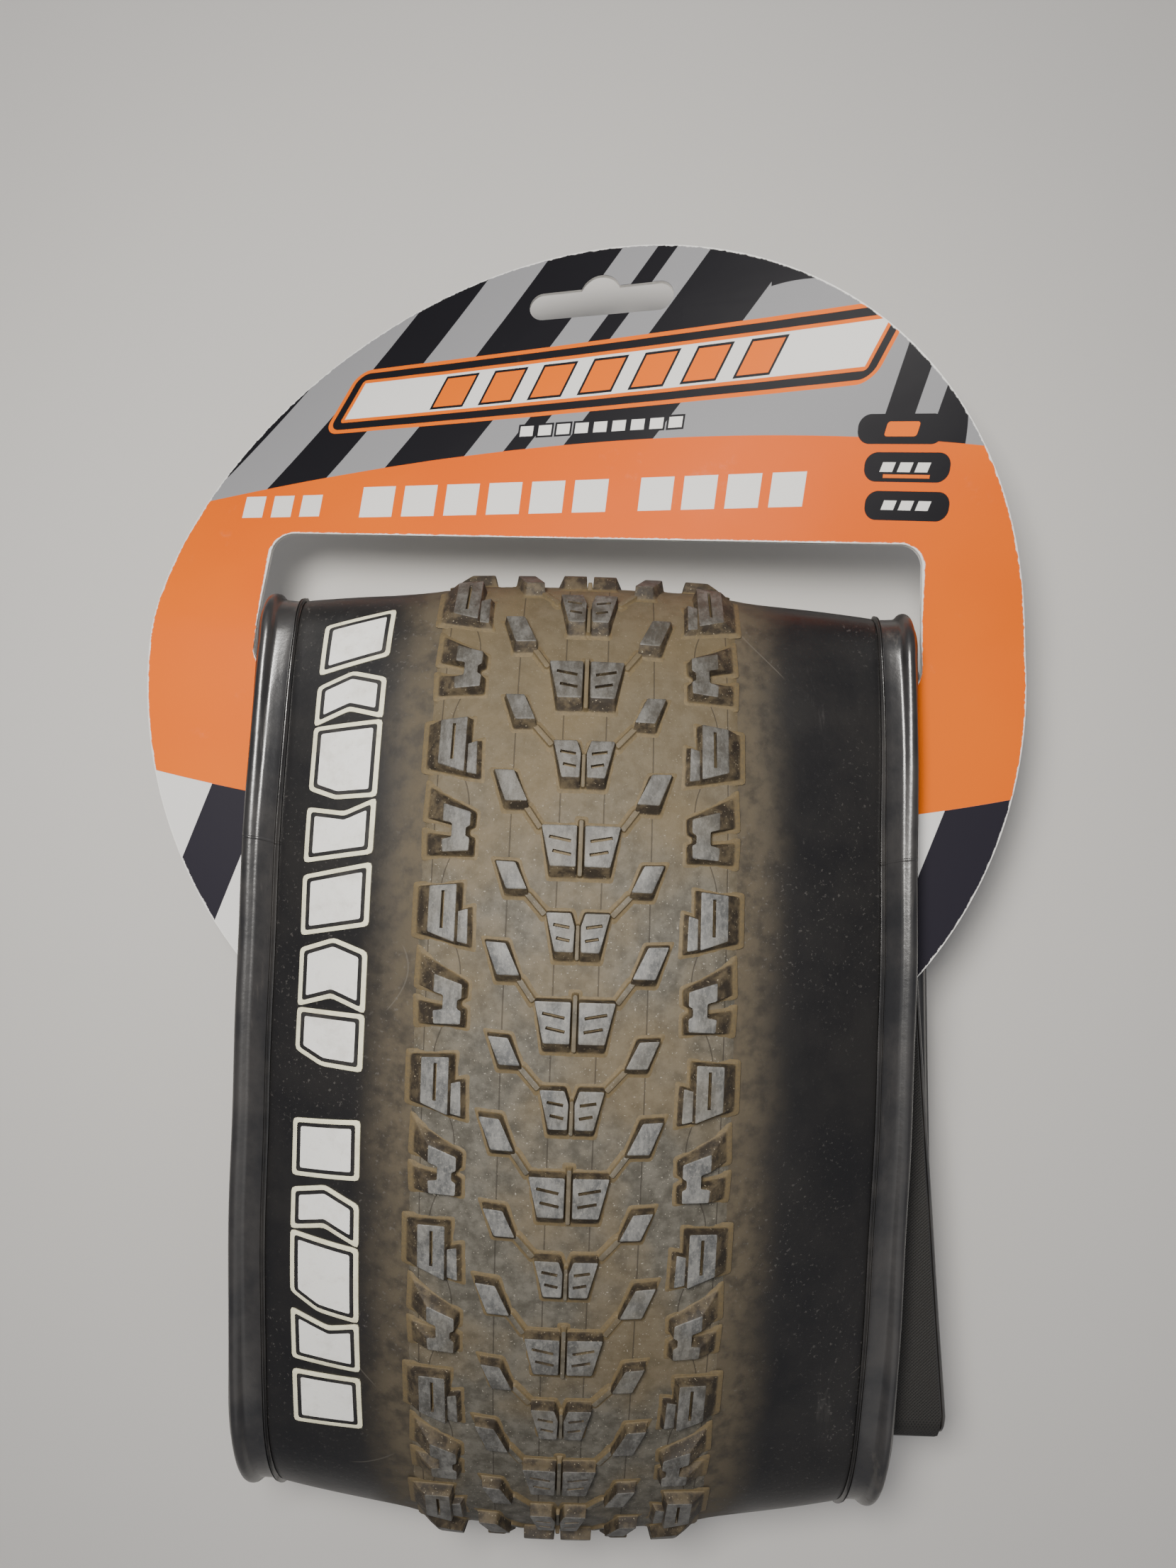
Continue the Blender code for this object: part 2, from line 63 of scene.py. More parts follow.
def makeMesh(name, verts, faces, material, uv=None, cornerUv=None, values=None, smooth=True):
    mesh = bpy.data.meshes.new(name)
    mesh.from_pydata(verts, [], faces)
    if uv is not None:
        corners = np.empty(len(mesh.loops), dtype=np.int32)
        mesh.loops.foreach_get("vertex_index", corners)
        cornerUv = np.asarray(uv)[corners]
    if cornerUv is not None:
        layer = mesh.uv_layers.new(name="flow")
        layer.data.foreach_set("uv", np.asarray(cornerUv, dtype=np.float32).ravel())
    for key, numbers in (values or {}).items():
        attribute = mesh.attributes.new(key, "FLOAT", "POINT")
        attribute.data.foreach_set("value", np.asarray(numbers, dtype=np.float32))
    mesh.materials.append(material)
    mesh.validate()
    piece = bpy.data.objects.new(name, mesh)
    bpy.context.scene.collection.objects.link(piece)
    if smooth:
        mesh.shade_smooth()
        mesh.set_sharp_from_angle(angle=math.radians(38))
    return piece


def sliceMesh(bm, axis, places):
    # extra edges across a flat mesh, so that it can bend
    direction = [float(i == axis) for i in range(3)]
    for at in places:
        everything = list(bm.verts) + list(bm.edges) + list(bm.faces)
        bmesh.ops.bisect_plane(bm, geom=everything, dist=1e-5, plane_no=direction,
                               plane_co=[at * part for part in direction])


def faceOutward(piece):
    bm = bmesh.new()
    bm.from_mesh(piece.data)
    bmesh.ops.recalc_face_normals(bm, faces=list(bm.faces))
    bm.to_mesh(piece.data)
    bm.free()


current = {}     # the node tree that is being filled


class Value:
    # a number, colour or vector inside a material, which can stand in ordinary sums

    def __init__(self, socket):
        self.socket = socket

    def __add__(self, other):
        return calc("ADD", self, other)

    def __sub__(self, other):
        return calc("SUBTRACT", self, other)

    def __rsub__(self, other):
        return calc("SUBTRACT", other, self)

    def __mul__(self, other):
        return calc("MULTIPLY", self, other)

    def __neg__(self):
        return calc("MULTIPLY", self, -1.0)

    def __abs__(self):
        return calc("ABSOLUTE", self)


def newMaterial(name):
    material = bpy.data.materials.new(name)
    material.use_nodes = True
    current["tree"] = material.node_tree
    return material, material.node_tree.nodes["Principled BSDF"]


def addNode(kind):
    return current["tree"].nodes.new("ShaderNode" + kind)


def feed(value, socket):
    if isinstance(value, Value):
        current["tree"].links.new(value.socket, socket)
    else:
        socket.default_value = (*value, 1.0) if socket.type == "RGBA" else value


def calc(operation, *terms, clamp=False):
    node = addNode("Math")
    node.operation = operation
    node.use_clamp = clamp
    for value, socket in zip(terms, node.inputs):
        feed(value, socket)
    return Value(node.outputs[0])


def larger(a, b):
    return calc("MAXIMUM", a, b)


def smaller(a, b):
    return calc("MINIMUM", a, b)


def strongest(values):
    return reduce(larger, values)


def mixColour(share, a, b):
    node = addNode("Mix")
    node.data_type = "RGBA"
    for value, socket in ((share, node.inputs[0]), (a, node.inputs[6]), (b, node.inputs[7])):
        feed(value, socket)
    return Value(node.outputs[2])


def ramp(value, low, high, fromValue=0.0, toValue=1.0):
    node = addNode("MapRange")
    node.interpolation_type = "SMOOTHSTEP"
    for term, socket in zip((value, low, high, fromValue, toValue), node.inputs):
        feed(term, socket)
    return Value(node.outputs[0])


def cloud(vector, scale, detail=4.0, rough=0.6, stretch=None):
    if stretch:
        mapping = addNode("Mapping")
        feed(stretch, mapping.inputs["Scale"])
        feed(vector, mapping.inputs["Vector"])
        vector = Value(mapping.outputs[0])
    node = addNode("TexNoise")
    for key, value in (("Scale", scale), ("Detail", detail), ("Roughness", rough), ("Vector", vector)):
        feed(value, node.inputs[key])
    return Value(node.outputs[0])


def readValue(key):
    node = addNode("Attribute")
    node.attribute_name = key
    return Value(node.outputs["Fac"])


def coordinates():
    return Value(addNode("TexCoord").outputs["Object"])


def flow():
    # across the tire and along its loop, in mm
    node = addNode("UVMap")
    node.uv_map = "flow"
    return splitVector(Value(node.outputs[0]))


def splitVector(vector):
    node = addNode("SeparateXYZ")
    feed(vector, node.inputs[0])
    return Value(node.outputs[0]), Value(node.outputs[1])


def dress(shader, tone, roughness, height=None, strength=0.0, distance=0.0, specular=0.5):
    feed(tone, shader.inputs["Base Color"])
    feed(roughness, shader.inputs["Roughness"])
    feed(specular, shader.inputs["Specular IOR Level"])
    if height:
        node = addNode("Bump")
        feed(strength, node.inputs["Strength"])
        feed(distance, node.inputs["Distance"])
        feed(height, node.inputs["Height"])
        feed(Value(node.outputs[0]), shader.inputs["Normal"])


# Camera and light

stage = {
    "cameraPlace": (0.001, 0.0283, 0.301),
    "lens": 26.0,
    "sensor": 36.0,
    "roll": 2.0,              # degrees
    # name, place in metres, size, energy, colour
    "lamps": [("keyLight", (-0.04, 0.075, 0.36), 0.07, 1.45, (1.0, 0.97, 0.92)),
              ("softLight", (0.3, -0.5, 1.3), 1.6, 2.0, (1.0, 0.99, 0.97)),
              ("topLight", (-0.5, 0.7, 1.2), 1.4, 2.0, (0.97, 0.98, 1.0))],
    "sky": (0.9, 0.92, 1.0, 1.0),
    "skyStrength": 0.22,
    "floorHalf": 9.0,
    "floorDrop": 0.0002,
    "floor": (0.66, 0.64, 0.61),
    "floorPale": (0.72, 0.7, 0.67),
}


def buildStage():
    camera = bpy.data.objects.new("viewCamera", bpy.data.cameras.new("viewCamera"))
    camera.data.lens = stage["lens"]
    camera.data.sensor_width = stage["sensor"]
    camera.data.clip_start = 0.01
    camera.location = stage["cameraPlace"]
    camera.rotation_euler = (0.0, 0.0, math.radians(stage["roll"]))
    bpy.context.scene.collection.objects.link(camera)
    bpy.context.scene.camera = camera

    for name, place, size, energy, colour in stage["lamps"]:
        data = bpy.data.lights.new(name, "AREA")
        data.size = size
        data.energy = energy
        data.color = colour
        lamp = bpy.data.objects.new(name, data)
        lamp.location = place
        lamp.rotation_euler = (-Vector(place)).to_track_quat("-Z", "Y").to_euler()
        bpy.context.scene.collection.objects.link(lamp)
    world = bpy.data.worlds.new("studio")
    world.use_nodes = True
    background = world.node_tree.nodes["Background"]
    background.inputs["Color"].default_value = stage["sky"]
    background.inputs["Strength"].default_value = stage["skyStrength"]
    bpy.context.scene.world = world

    material, shader = newMaterial("paleFloor")
    dress(shader, mixColour(cloud(coordinates(), 3.0), stage["floor"], stage["floorPale"]), 0.85)
    half = stage["floorHalf"]
    corners = [(-half, -half, 0), (half, -half, 0), (half, half, 0), (-half, half, 0)]
    floor = makeMesh("floor", corners, [(0, 1, 2, 3)], material, smooth=False)
    floor.location.z = -stage["floorDrop"]
    print("stage ready")


# The loop that every tire layer follows, in millimetres: y and z of the tread's middle
# and of the bead, on the inner face of the casing

route = {
    "crest": (-26.5, 81.4),
    "upperTread": (68.1, 52.0),
    "lowerTread": (-141.0, 30.0),
    "upperBeadY": 57.3,
    "lowerBeadY": -102.5,
    "frontBeadZ": 60.0,
    "backTreadY": -112.0,
    "upperFold": (57.0, 53.0),              # tread, bead
    "lowerFolds": (-103.0, -106.5, -110.3),
    "lowerShifts": (5.0, 7.5, 9.5),
    "upperShifts": (0.0, 1.0, 1.5),
    "frontHalf": 70.3,
    "endHalf": 69.2,
    "flatHalf": 76.0,
    "backHalf": 74.5,
    "knobTop": 5.6,
    "faceGap": 1.6,
    "pitch": 16.6,
    "rowHeight": 2.8,         # the knobs' pitch holds at this height
}
# stations on each part of the loop: the fold, the run from it, the turn and the run back
steps = {"front": 260, "end": 40, "ground": 48, "fold": 14, "run": 36, "turn": 16, "turnIn": 12}


def quarterLine(centre, reach, start, count=40):
    angle = np.radians(90.0 * (start + np.linspace(0.0, 1.0, count + 1)))
    y = centre[0] + reach[0] * np.cos(angle)
    z = centre[1] + reach[1] * np.sin(angle)
    return np.stack([y, z], axis=1)


def halfTurn(centreY, low, high, side, count=24):
    angle = np.linspace(0.0, math.pi, count + 1)
    radius = (high - low) / 2
    y = centreY + side * radius * np.sin(angle)
    return np.stack([y, low + radius - radius * np.cos(angle)], axis=1)


def straightLine(startY, endY, z):
    return np.array([[startY, z], [endY, z]], dtype=float)


def evenLine(points, count):
    gaps = np.hypot(*np.diff(points, axis=0).T)
    length = np.concatenate([[0.0], np.cumsum(gaps)])
    wanted = np.linspace(0.0, length[-1], count + 1)
    y = np.interp(wanted, length, points[:, 0])
    return np.stack([y, np.interp(wanted, length, points[:, 1])], axis=1)


def runHeight(index):
    height = route["knobTop"] + (index // 2) * 2 * (route["knobTop"] + route["faceGap"])
    return height + route["faceGap"] * (index % 2)


def layLoop():
    parts = []

    def add(tread, bead, half, shift, count):
        share = np.linspace(0.0, 1.0, count + 1)[:-1]
        parts.append({
            "tread": evenLine(tread, count)[:-1],
            "bead": evenLine(bead, count)[:-1],
            "half": half[0] + (half[1] - half[0]) * share,
            "shift": shift[0] + (shift[1] - shift[0]) * share,
        })

    crestY, crestZ = route["crest"]
    upperY, upperZ = route["upperTread"]
    lowerY, lowerZ = route["lowerTread"]
    end, flat, back = route["endHalf"], route["flatHalf"], route["backHalf"]
    cardSide = runHeight(6)
    upperRadius = (route["frontBeadZ"] - cardSide) / 2
    lowerRadius = (route["frontBeadZ"] - runHeight(0)) / 2
    upperCentre = (route["upperBeadY"], cardSide + upperRadius)
    lowerCentre = (route["lowerBeadY"], runHeight(0) + lowerRadius)

    # the front run, from the card's window to the lower end
    tread = np.concatenate([
        quarterLine((crestY, upperZ), (upperY - crestY, crestZ - upperZ), 0),
        quarterLine((crestY, lowerZ), (crestY - lowerY, crestZ - lowerZ), 1)[1:]])
    bead = np.concatenate([
        quarterLine(upperCentre, (upperRadius, upperRadius), 0),
        quarterLine(lowerCentre, (lowerRadius, lowerRadius), 1)])
    add(tread, bead, (end, end), (0.0, 0.0), steps["front"])
    bulge = np.sin(math.pi * np.linspace(0.0, 1.0, steps["front"] + 1)[:-1])
    parts[-1]["half"] = parts[-1]["half"] + (route["frontHalf"] - end) * bulge

    # round the lower end, then along the ground
    reach = (route["backTreadY"] - lowerY, lowerZ - runHeight(0))
    add(quarterLine((route["backTreadY"], lowerZ), reach, 2),
        quarterLine(lowerCentre, (lowerRadius, lowerRadius), 2), (end, back), (0.0, 0.0), steps["end"])
    foldTread, foldBead = route["upperFold"]
    add(straightLine(route["backTreadY"], foldTread, runHeight(0)),
        straightLine(route["lowerBeadY"], foldBead, runHeight(0)),
        (back, flat), (0.0, 0.0), steps["ground"])

    # to and fro behind the card
    for fold, foldY in enumerate(route["lowerFolds"]):
        low, down, up = (runHeight(2 * fold + i) for i in range(3))
        last = fold == len(route["lowerFolds"]) - 1
        topShift, sideShift = route["upperShifts"][fold], route["lowerShifts"][fold]
        nextShift = 0.0 if last else route["upperShifts"][fold + 1]
        add(halfTurn(foldTread, low, down, 1), halfTurn(foldBead, low, down, 1),
            (flat, flat), (topShift, topShift), steps["fold"])
        add(straightLine(foldTread, foldY, down), straightLine(foldBead, foldY, down),
            (flat, flat), (topShift, sideShift), steps["run"])
        turn = halfTurn(foldY, down, up, -1)
        add(turn, turn, (flat, flat), (sideShift, sideShift), steps["turn"])
        treadEnd = upperY - (upperZ - up) if last else foldTread
        beadEnd = route["upperBeadY"] if last else foldBead
        add(straightLine(foldY, treadEnd, up), straightLine(foldY, beadEnd, up),
            (flat, end if last else flat), (sideShift, nextShift), steps["run"])
    turnIn = upperZ - cardSide
    add(quarterLine((upperY - turnIn, upperZ), (turnIn, turnIn), 3),
        quarterLine(upperCentre, (upperRadius, upperRadius), 3), (end, end), (0.0, 0.0), steps["turnIn"])
    return {key: np.concatenate([part[key] for part in parts]) for key in parts[0]}


loop = layLoop()
stationCount = len(loop["half"])
slope = {key: (np.roll(line, -1, axis=0) - np.roll(line, 1, axis=0)) / 2
         for key, line in loop.items()}


def alongLoop(values, at):
    low = np.floor(at).astype(int)
    part = at - low
    if values.ndim == 2:
        part = part[:, None]
    return values[low % stationCount] * (1 - part) + values[(low + 1) % stationCount] * part


def lengthAtStations():
    out = np.stack([slope["tread"][:, 1], -slope["tread"][:, 0]], axis=1)
    out /= np.hypot(*out.T)[:, None]
    middle = loop["tread"] + out * route["rowHeight"]
    gaps = np.hypot(*(np.roll(middle, -1, axis=0) - middle).T)
    return np.concatenate([[0.0], np.cumsum(gaps)])


stationLength = lengthAtStations()
loopLength = stationLength[-1]
rowPairs = round(loopLength / (2 * route["pitch"]))
rowPitch = loopLength / rowPairs / 2
print("loop of", stationCount, "stations,", round(loopLength), "mm,", rowPairs * 2, "knob rows")


def ripple(length, share):
    # the soft sidewalls are never quite flat
    wave = 0.16 * np.sin(length / 17.0 + 2.0 * share) + 0.11 * np.sin(length / 7.3 - 5.0 * share + 1.0)
    wave += 0.1 * np.sin(length / 41.0 + 7.0 * share + 2.0)
    edge = np.clip((np.abs(share) - 0.45) / 0.2, 0.0, 1.0)
    return wave * edge


def place(length, share, height):
    # length along the tread, share of the half width, height above the casing: mm in, metres out
    at = np.interp(np.mod(length, loopLength), stationLength, np.arange(stationCount + 1))
    square = (share * share)[:, None]
    keys = ("tread", "bead", "half", "shift")
    tread, bead, half, shift = (alongLoop(loop[key], at) for key in keys)
    treadSlope, beadSlope, halfSlope, shiftSlope = (alongLoop(slope[key], at) for key in keys)
    middle = tread + (bead - tread) * square
    point = np.column_stack([shift + half * share, middle])
    across = np.column_stack([half, (bead - tread) * 2 * share[:, None]])
    along = np.column_stack([shiftSlope + halfSlope * share,
                             treadSlope + (beadSlope - treadSlope) * square])
    out = np.cross(along, across)
    out /= np.linalg.norm(out, axis=1)[:, None]
    return (point + out * (height + ripple(length, share))[:, None]) * mm


# Sections carried along the loop

def refine(profile, gap=0.02):
    points = []
    for (shareA, heightA), (shareB, heightB) in zip(profile, profile[1:] + profile[:1]):
        steps = max(1, math.ceil(abs(shareB - shareA) / gap))
        for i in range(steps):
            part = i / steps
            points.append((shareA + (shareB - shareA) * part, heightA + (heightB - heightA) * part))
    return points


def mirrored(profile):
    return [(-share, height) for share, height in reversed(profile)]


def ringFaces(rings, size):
    # quads between closed rings that also close round the loop
    ring = np.arange(rings)[:, None] * size
    nextRing = np.roll(ring, -1, axis=0)
    here = np.arange(size)[None, :]
    there = (here + 1) % size
    return np.stack([ring + here, nextRing + here, nextRing + there, ring + there], axis=2).reshape(-1, 4)


def sweepPiece(name, profile, material, node, slot, step=1, gap=0.02):
    profile = np.array(refine(profile, gap))
    size = len(profile)
    stations = np.arange(0, stationCount, step)
    lengths = stationLength[stations]
    length = np.repeat(lengths, size)
    share = np.tile(profile[:, 0], len(lengths))
    verts = place(length, share, np.tile(profile[:, 1], len(lengths)))
    faces = ringFaces(len(lengths), size)
    uv = np.column_stack([share * route["frontHalf"], length])[faces.ravel()]
    seam = np.repeat(np.arange(len(faces)) // size == len(lengths) - 1, 4)
    uv[seam & (uv[:, 1] < loopLength / 2), 1] += loopLength
    piece = makeMesh(name, verts.tolist(), faces.tolist(), material, cornerUv=uv)
    faceOutward(piece)
    claim(piece, "tire", node)


def claim(piece, body, node):
    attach(piece, body)
    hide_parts(node)


casing = {
    "ply": 0.45,
    "gap": 0.3,
    "breaker": 0.4,
    "plyEdge": 0.985,         # shares of the half width
    "breakerEdge": 0.4,
    "gauge": (2, 0.05),       # every second station, and the largest step in share
    "threads": 9.0,
    "dark": (0.012, 0.0115, 0.011),
    "pale": (0.03, 0.028, 0.025),
    "stain": (0.022, 0.02, 0.018),
}


def strip(edge, low, high):
    return [(-edge, high), (edge, high), (edge, low), (-edge, low)]


def buildCasing():
    material, shader = newMaterial("nylonCasing")
    across, along = flow()
    weave = larger(calc("SINE", (across + along) * casing["threads"]),
                   calc("SINE", (across - along) * casing["threads"]))
    tone = mixColour(ramp(weave, -0.2, 1.0), casing["dark"], casing["pale"])
    tone = mixColour(ramp(cloud(coordinates(), 220.0), 0.4, 0.7), tone, casing["stain"])
    dress(shader, tone, 0.72, weave, 0.5, 0.00012)
    ply, edge = casing["ply"], casing["plyEdge"]
    second = ply + casing["gap"]
    third = second + ply + casing["gap"]
    for name, node, profile in (
            ("innerPly", "casing_ply_inner", strip(edge, 0.0, ply)),
            ("outerPly", "casing_ply_outer", strip(edge, second, second + ply)),
            ("breakerCloth", "breaker_strip",
             strip(casing["breakerEdge"], third, third + casing["breaker"]))):
        sweepPiece(name, profile, material, node, "casing_fabric", *casing["gauge"])
    print("casing plies done")


sidewall = {
    "inner": 0.43,
    "outer": 0.881,
    "face": 2.05,            # height of the rubber's face
    "rubber": (0.0085, 0.008, 0.0085),
    "rubberPale": (0.016, 0.0145, 0.0135),
    "dust": (0.088, 0.07, 0.044),
    "dustReach": (31.0, 43.5),   # mm from the middle, full to none
    "hair": (0.13, 0.115, 0.095),
    "speck": (0.13, 0.12, 0.11),
    "scuff": (0.075, 0.07, 0.066),
    "roughness": 0.34,
}


def sidewallMaterial():
    material, shader = newMaterial("sidewallRubber")
    where = coordinates()
    across = flow()[0]
    patches = cloud(where, 55.0, 5.0, 0.65)
    dust = ramp((patches - 0.5) * 9.0 + abs(across), *sidewall["dustReach"], 1.0, 0.0)
    dust = dust * ramp(cloud(where, 260.0, 4.0), 0.3, 0.62, 0.45, 1.0)
    specks = ramp(cloud(where, 1300.0, 3.0, 0.6), 0.6, 0.7)
    specks = specks * ramp(cloud(where, 34.0), 0.4, 0.62, 0.12, 1.0)
    scuff = ramp(cloud(where, 60.0, 6.0, 0.75, stretch=(1.0, 0.05, 1.0)), 0.56, 0.66)
    scuff = scuff * ramp(cloud(where, 24.0), 0.4, 0.6)
    hair = ramp(abs(cloud(where, 26.0, 0.0) - 0.5), 0.001, 0.003, 1.0, 0.0)
    hair = hair * ramp(cloud(where, 42.0, 1.0), 0.62, 0.66)
    tone = mixColour(ramp(patches, 0.3, 0.7), sidewall["rubber"], sidewall["rubberPale"])
    for share, colour in ((dust, "dust"), (hair * 0.4, "hair"),
                          (specks * 0.4, "speck"), (scuff * 0.35, "scuff")):
        tone = mixColour(share, tone, sidewall[colour])
    rough = patches * 0.16 + dust * 0.38 + sidewall["roughness"]
    rough = calc("MULTIPLY_ADD", scuff, 0.2, rough, clamp=True)
    dress(shader, tone, rough, cloud(where, 900.0, 3.0) * 0.35 + patches * 1.4, 0.35, 0.00025)
    return material


def buildSidewalls():
    material = sidewallMaterial()
    face, inner, outer = sidewall["face"], sidewall["inner"], sidewall["outer"]
    profile = [(inner, 1.6), (inner + 0.004, face + 0.42), (inner + 0.02, face + 0.34),
               (inner + 0.05, face + 0.14), (inner + 0.09, face + 0.03), (inner + 0.13, face),
               (outer - 0.006, face), (outer - 0.001, face - 0.12), (outer, 1.5), (inner, 1.5)]
    sweepPiece("sidewallRight", profile, material, "sidewall_right", "sidewall_rubber")
    sweepPiece("sidewallLeft", mirrored(profile), material, "sidewall_left", "sidewall_rubber")
    print("sidewalls done")


bead = {
    # outer face of the rubber over the bead, from the rim line to the lip
    "face": [(0.8825, 1.95), (0.8845, 2.12), (0.8858, 2.72), (0.8872, 2.76), (0.8888, 2.14),
             (0.8902, 2.12), (0.8918, 2.7), (0.8932, 2.72), (0.895, 2.1), (0.9, 2.05),
             (0.915, 2.2), (0.93, 2.4), (0.943, 2.58), (0.949, 2.75), (0.953, 3.1),
             (0.957, 3.58), (0.962, 3.96), (0.968, 4.18), (0.975, 4.25), (0.982, 4.12),
             (0.988, 3.78), (0.9925, 3.3), (0.995, 2.8), (0.9968, 2.42), (1.0000, 2.2),
             (1.004, 1.95), (1.0045, 1.4), (1.001, 1.05), (0.996, 1.1)],
    "back": [(0.993, 1.5), (0.988, 1.5), (0.9855, 3.2), (0.979, 3.6), (0.961, 3.6),
             (0.956, 2.9), (0.95, 2.3), (0.915, 1.85), (0.899, 1.5), (0.884, 1.5)],
    "filler": [(0.902, 1.5), (0.95, 1.5), (0.95, 2.1)],
    "cord": [(0.958, 2.2), (0.963, 1.65), (0.978, 1.65), (0.984, 2.2), (0.979, 3.3), (0.963, 3.3)],
    "splices": (86.0, 255.0, 543.0),    # mm along the loop, where the strip's ends overlap
    "roughness": 0.21,
    "rubber": (0.014, 0.0135, 0.014),
    "rubberPale": (0.034, 0.031, 0.029),
    "worn": (0.085, 0.075, 0.064),
    "fillerDark": (0.014, 0.014, 0.014),
    "fillerPale": (0.03, 0.029, 0.028),
    "cordDark": (0.42, 0.31, 0.07),
    "cordPale": (0.72, 0.58, 0.2),
}


def beadMaterial():
    material, shader = newMaterial("beadRubber")
    where = coordinates()
    across, along = flow()
    patches = cloud(where, 70.0, 5.0, 0.62)
    wear = ramp(cloud(where, 240.0, 5.0, 0.7, stretch=(1.0, 0.1, 1.0)), 0.55, 0.72)
    tone = mixColour(ramp(patches, 0.35, 0.7), bead["rubber"], bead["rubberPale"])
    tone = mixColour(wear * 0.5, tone, bead["worn"])
    rough = patches * 0.2 + bead["roughness"]
    rough = calc("MULTIPLY_ADD", wear, 0.25, rough, clamp=True)
    height = cloud(where, 700.0, 4.0, 0.7) * 0.25 + patches * 1.3
    slanted = abs(across) * 0.35 + along
    ridges = strongest(ramp(abs(slanted - splice), 0.12, 0.42, 1.0, 0.0) for splice in bead["splices"])
    height = ridges * 1.2 + height
    dress(shader, tone, rough, height, 0.45, 0.0003, specular=1.0)
    return material


def buildBeads():
    rubber = beadMaterial()
    hidden, shader = newMaterial("fillerRubber")
    dress(shader, mixColour(cloud(coordinates(), 300.0), bead["fillerDark"], bead["fillerPale"]), 0.6)
    cord, shader = newMaterial("aramidCord")
    across, along = flow()
    lay = calc("SINE", along * 3.2 + across * 2.4)
    tone = mixColour(ramp(lay, -1.0, 1.0), bead["cordDark"], bead["cordPale"])
    dress(shader, tone, 0.55, lay, 0.6, 0.0002)
    for side, turn in (("right", list), ("left", mirrored)):
        label = side.capitalize()
        sweepPiece("rimStrip" + label, turn(bead["face"] + bead["back"]), rubber,
                   "rim_strip_" + side, "bead_rubber")
        sweepPiece("beadFiller" + label, turn(bead["filler"]), hidden,
                   "bead_filler_" + side, "sidewall_rubber", 2)
        sweepPiece("beadCord" + label, turn(bead["cord"]), cord,
                   "bead_core_" + side, "aramid_cord", 2)
    print("beads done")


# The tread: a thin base, and the knobs of one pattern repeat, which is two rows

tread = {
    "base": 2.2,
    "floor": 3.0,
    "edge": 0.4375,
    "sipeDepth": 1.25,
    "firstBlock": 95.3,        # where a long centre block's upper edge lies, mm along the loop
    "tightGap": 3.0,           # knobs are left out where the tread folds in on itself
    "rubber": (0.058, 0.052, 0.039),
    "rubberPale": (0.125, 0.115, 0.094),
    "dust": (0.138, 0.1, 0.047),
    # the knobs' walls are painted dark: painted shade on faces turned from the light
    "shadedWall": (0.024, 0.017, 0.01),
    "knobTop": (0.072, 0.073, 0.073),
    "knobWorn": (0.185, 0.182, 0.172),
    # the knob tops are painted darker towards both ends of the run: painted shade
    "endShadeTop": (0.046, 0.038, 0.026),
    "cakedGround": (0.122, 0.088, 0.04),
    "upperEndDustAndShade": (-0.005, 0.045),   # from here to there along y the upper end gets caked dust on the base and painted shade on the knob tops
    # from here to there along y the lower end's knob tops get painted shade
    "lowerEndShade": (-0.1, -0.065),
    "speck": (0.36, 0.33, 0.27),
    "topFleck": (0.3, 0.29, 0.26),
    "topDust": (0.115, 0.098, 0.066),
    "border": (0.11, 0.083, 0.044),
    "wallDust": (0.09, 0.068, 0.038),
    "wallSpeck": (0.26, 0.22, 0.15),
    "partingLine": (0.022, 0.017, 0.011),
    "partings": (4.25, 13.6, 28.5),   # mm from the middle
    "wander": (2.3, 24.2),            # the line that winds between the side blocks
}

# outlines in mm: away from the middle, down from the long block's upper edge,
# then how far the foot stands out from that corner, where it does
knobs = [
    # long centre block, with two slits
    {"top": 5.6, "outline": [(0.75, 0.0), (7.4, 0.0), (5.6, 7.8, 0, 2.0), (0.8, 7.8, 0, 2.0)],
     "slits": [((1.8, 3.0), (5.9, 2.2)), ((1.7, 5.6), (5.2, 4.9))]},
    # short centre block, with a notched corner
    {"top": 5.6, "outline": [(1.35, 16.6), (5.9, 16.6), (4.1, 23.9, 0, 1.8), (0.7, 23.9, 0, 1.8),
                             (0.55, 19.1)],
     "slits": [((1.5, 19.3), (4.5, 18.8)), ((1.4, 21.8), (3.9, 21.3))]},
    # slanted blocks between the centre and the side
    {"top": 5.45, "outline": [(12.0, 7.2), (15.7, 7.0, 0.3, 0), (13.5, 12.3, 0.3, 1.3), (9.6, 12.3, 0, 1.3)]},
    {"top": 5.45, "outline": [(13.1, 22.6), (16.9, 22.4, 0.3, 0), (14.5, 28.6, 0.3, 1.4), (10.3, 28.6, 0, 1.4)]},
    # long side block with its slit, and the rib inside it
    {"top": 5.6, "outline": [(22.7, 11.6, -0.4, 0), (27.8, 12.0, 3.0, 0.4), (27.8, 20.9, 3.0, 0.4),
                             (22.7, 22.8, -0.4, 0.6)],
     "slits": [((25.2, 12.9), (25.2, 20.2))]},
    {"top": 4.5, "outline": [(20.7, 16.3, -0.5, 0), (22.8, 17.0), (22.8, 22.7, 0, 0.6),
                             (20.5, 23.2, -0.5, 0.6)]},
    # side block with a deep outer notch
    {"top": 5.6, "outline": [(20.8, 30.8, -0.4, 0), (26.0, 29.1, 3.6, -3.6), (26.0, 32.5, 3.8, -1.1),
                             (24.3, 33.0), (24.3, 35.7), (26.0, 36.1, 3.8, -1.3),
                             (25.8, 38.6, 3.8, 0.4), (20.9, 38.4, -0.4, 0.8),
                             (20.8, 35.9, -0.3, 0), (21.6, 35.5), (21.6, 33.9), (20.8, 33.5, -0.3, 0)]},
    # low ties that run from the slanted blocks to the next centre block
    {"top": 3.75, "dusty": True,
     "outline": [(9.3, 12.9), (10.3, 13.3), (6.7, 17.4), (5.9, 16.7)]},
    {"top": 3.75, "dusty": True,
     "outline": [(10.1, 29.4), (11.1, 29.8), (8.2, 33.9), (7.4, 33.3)]},
]
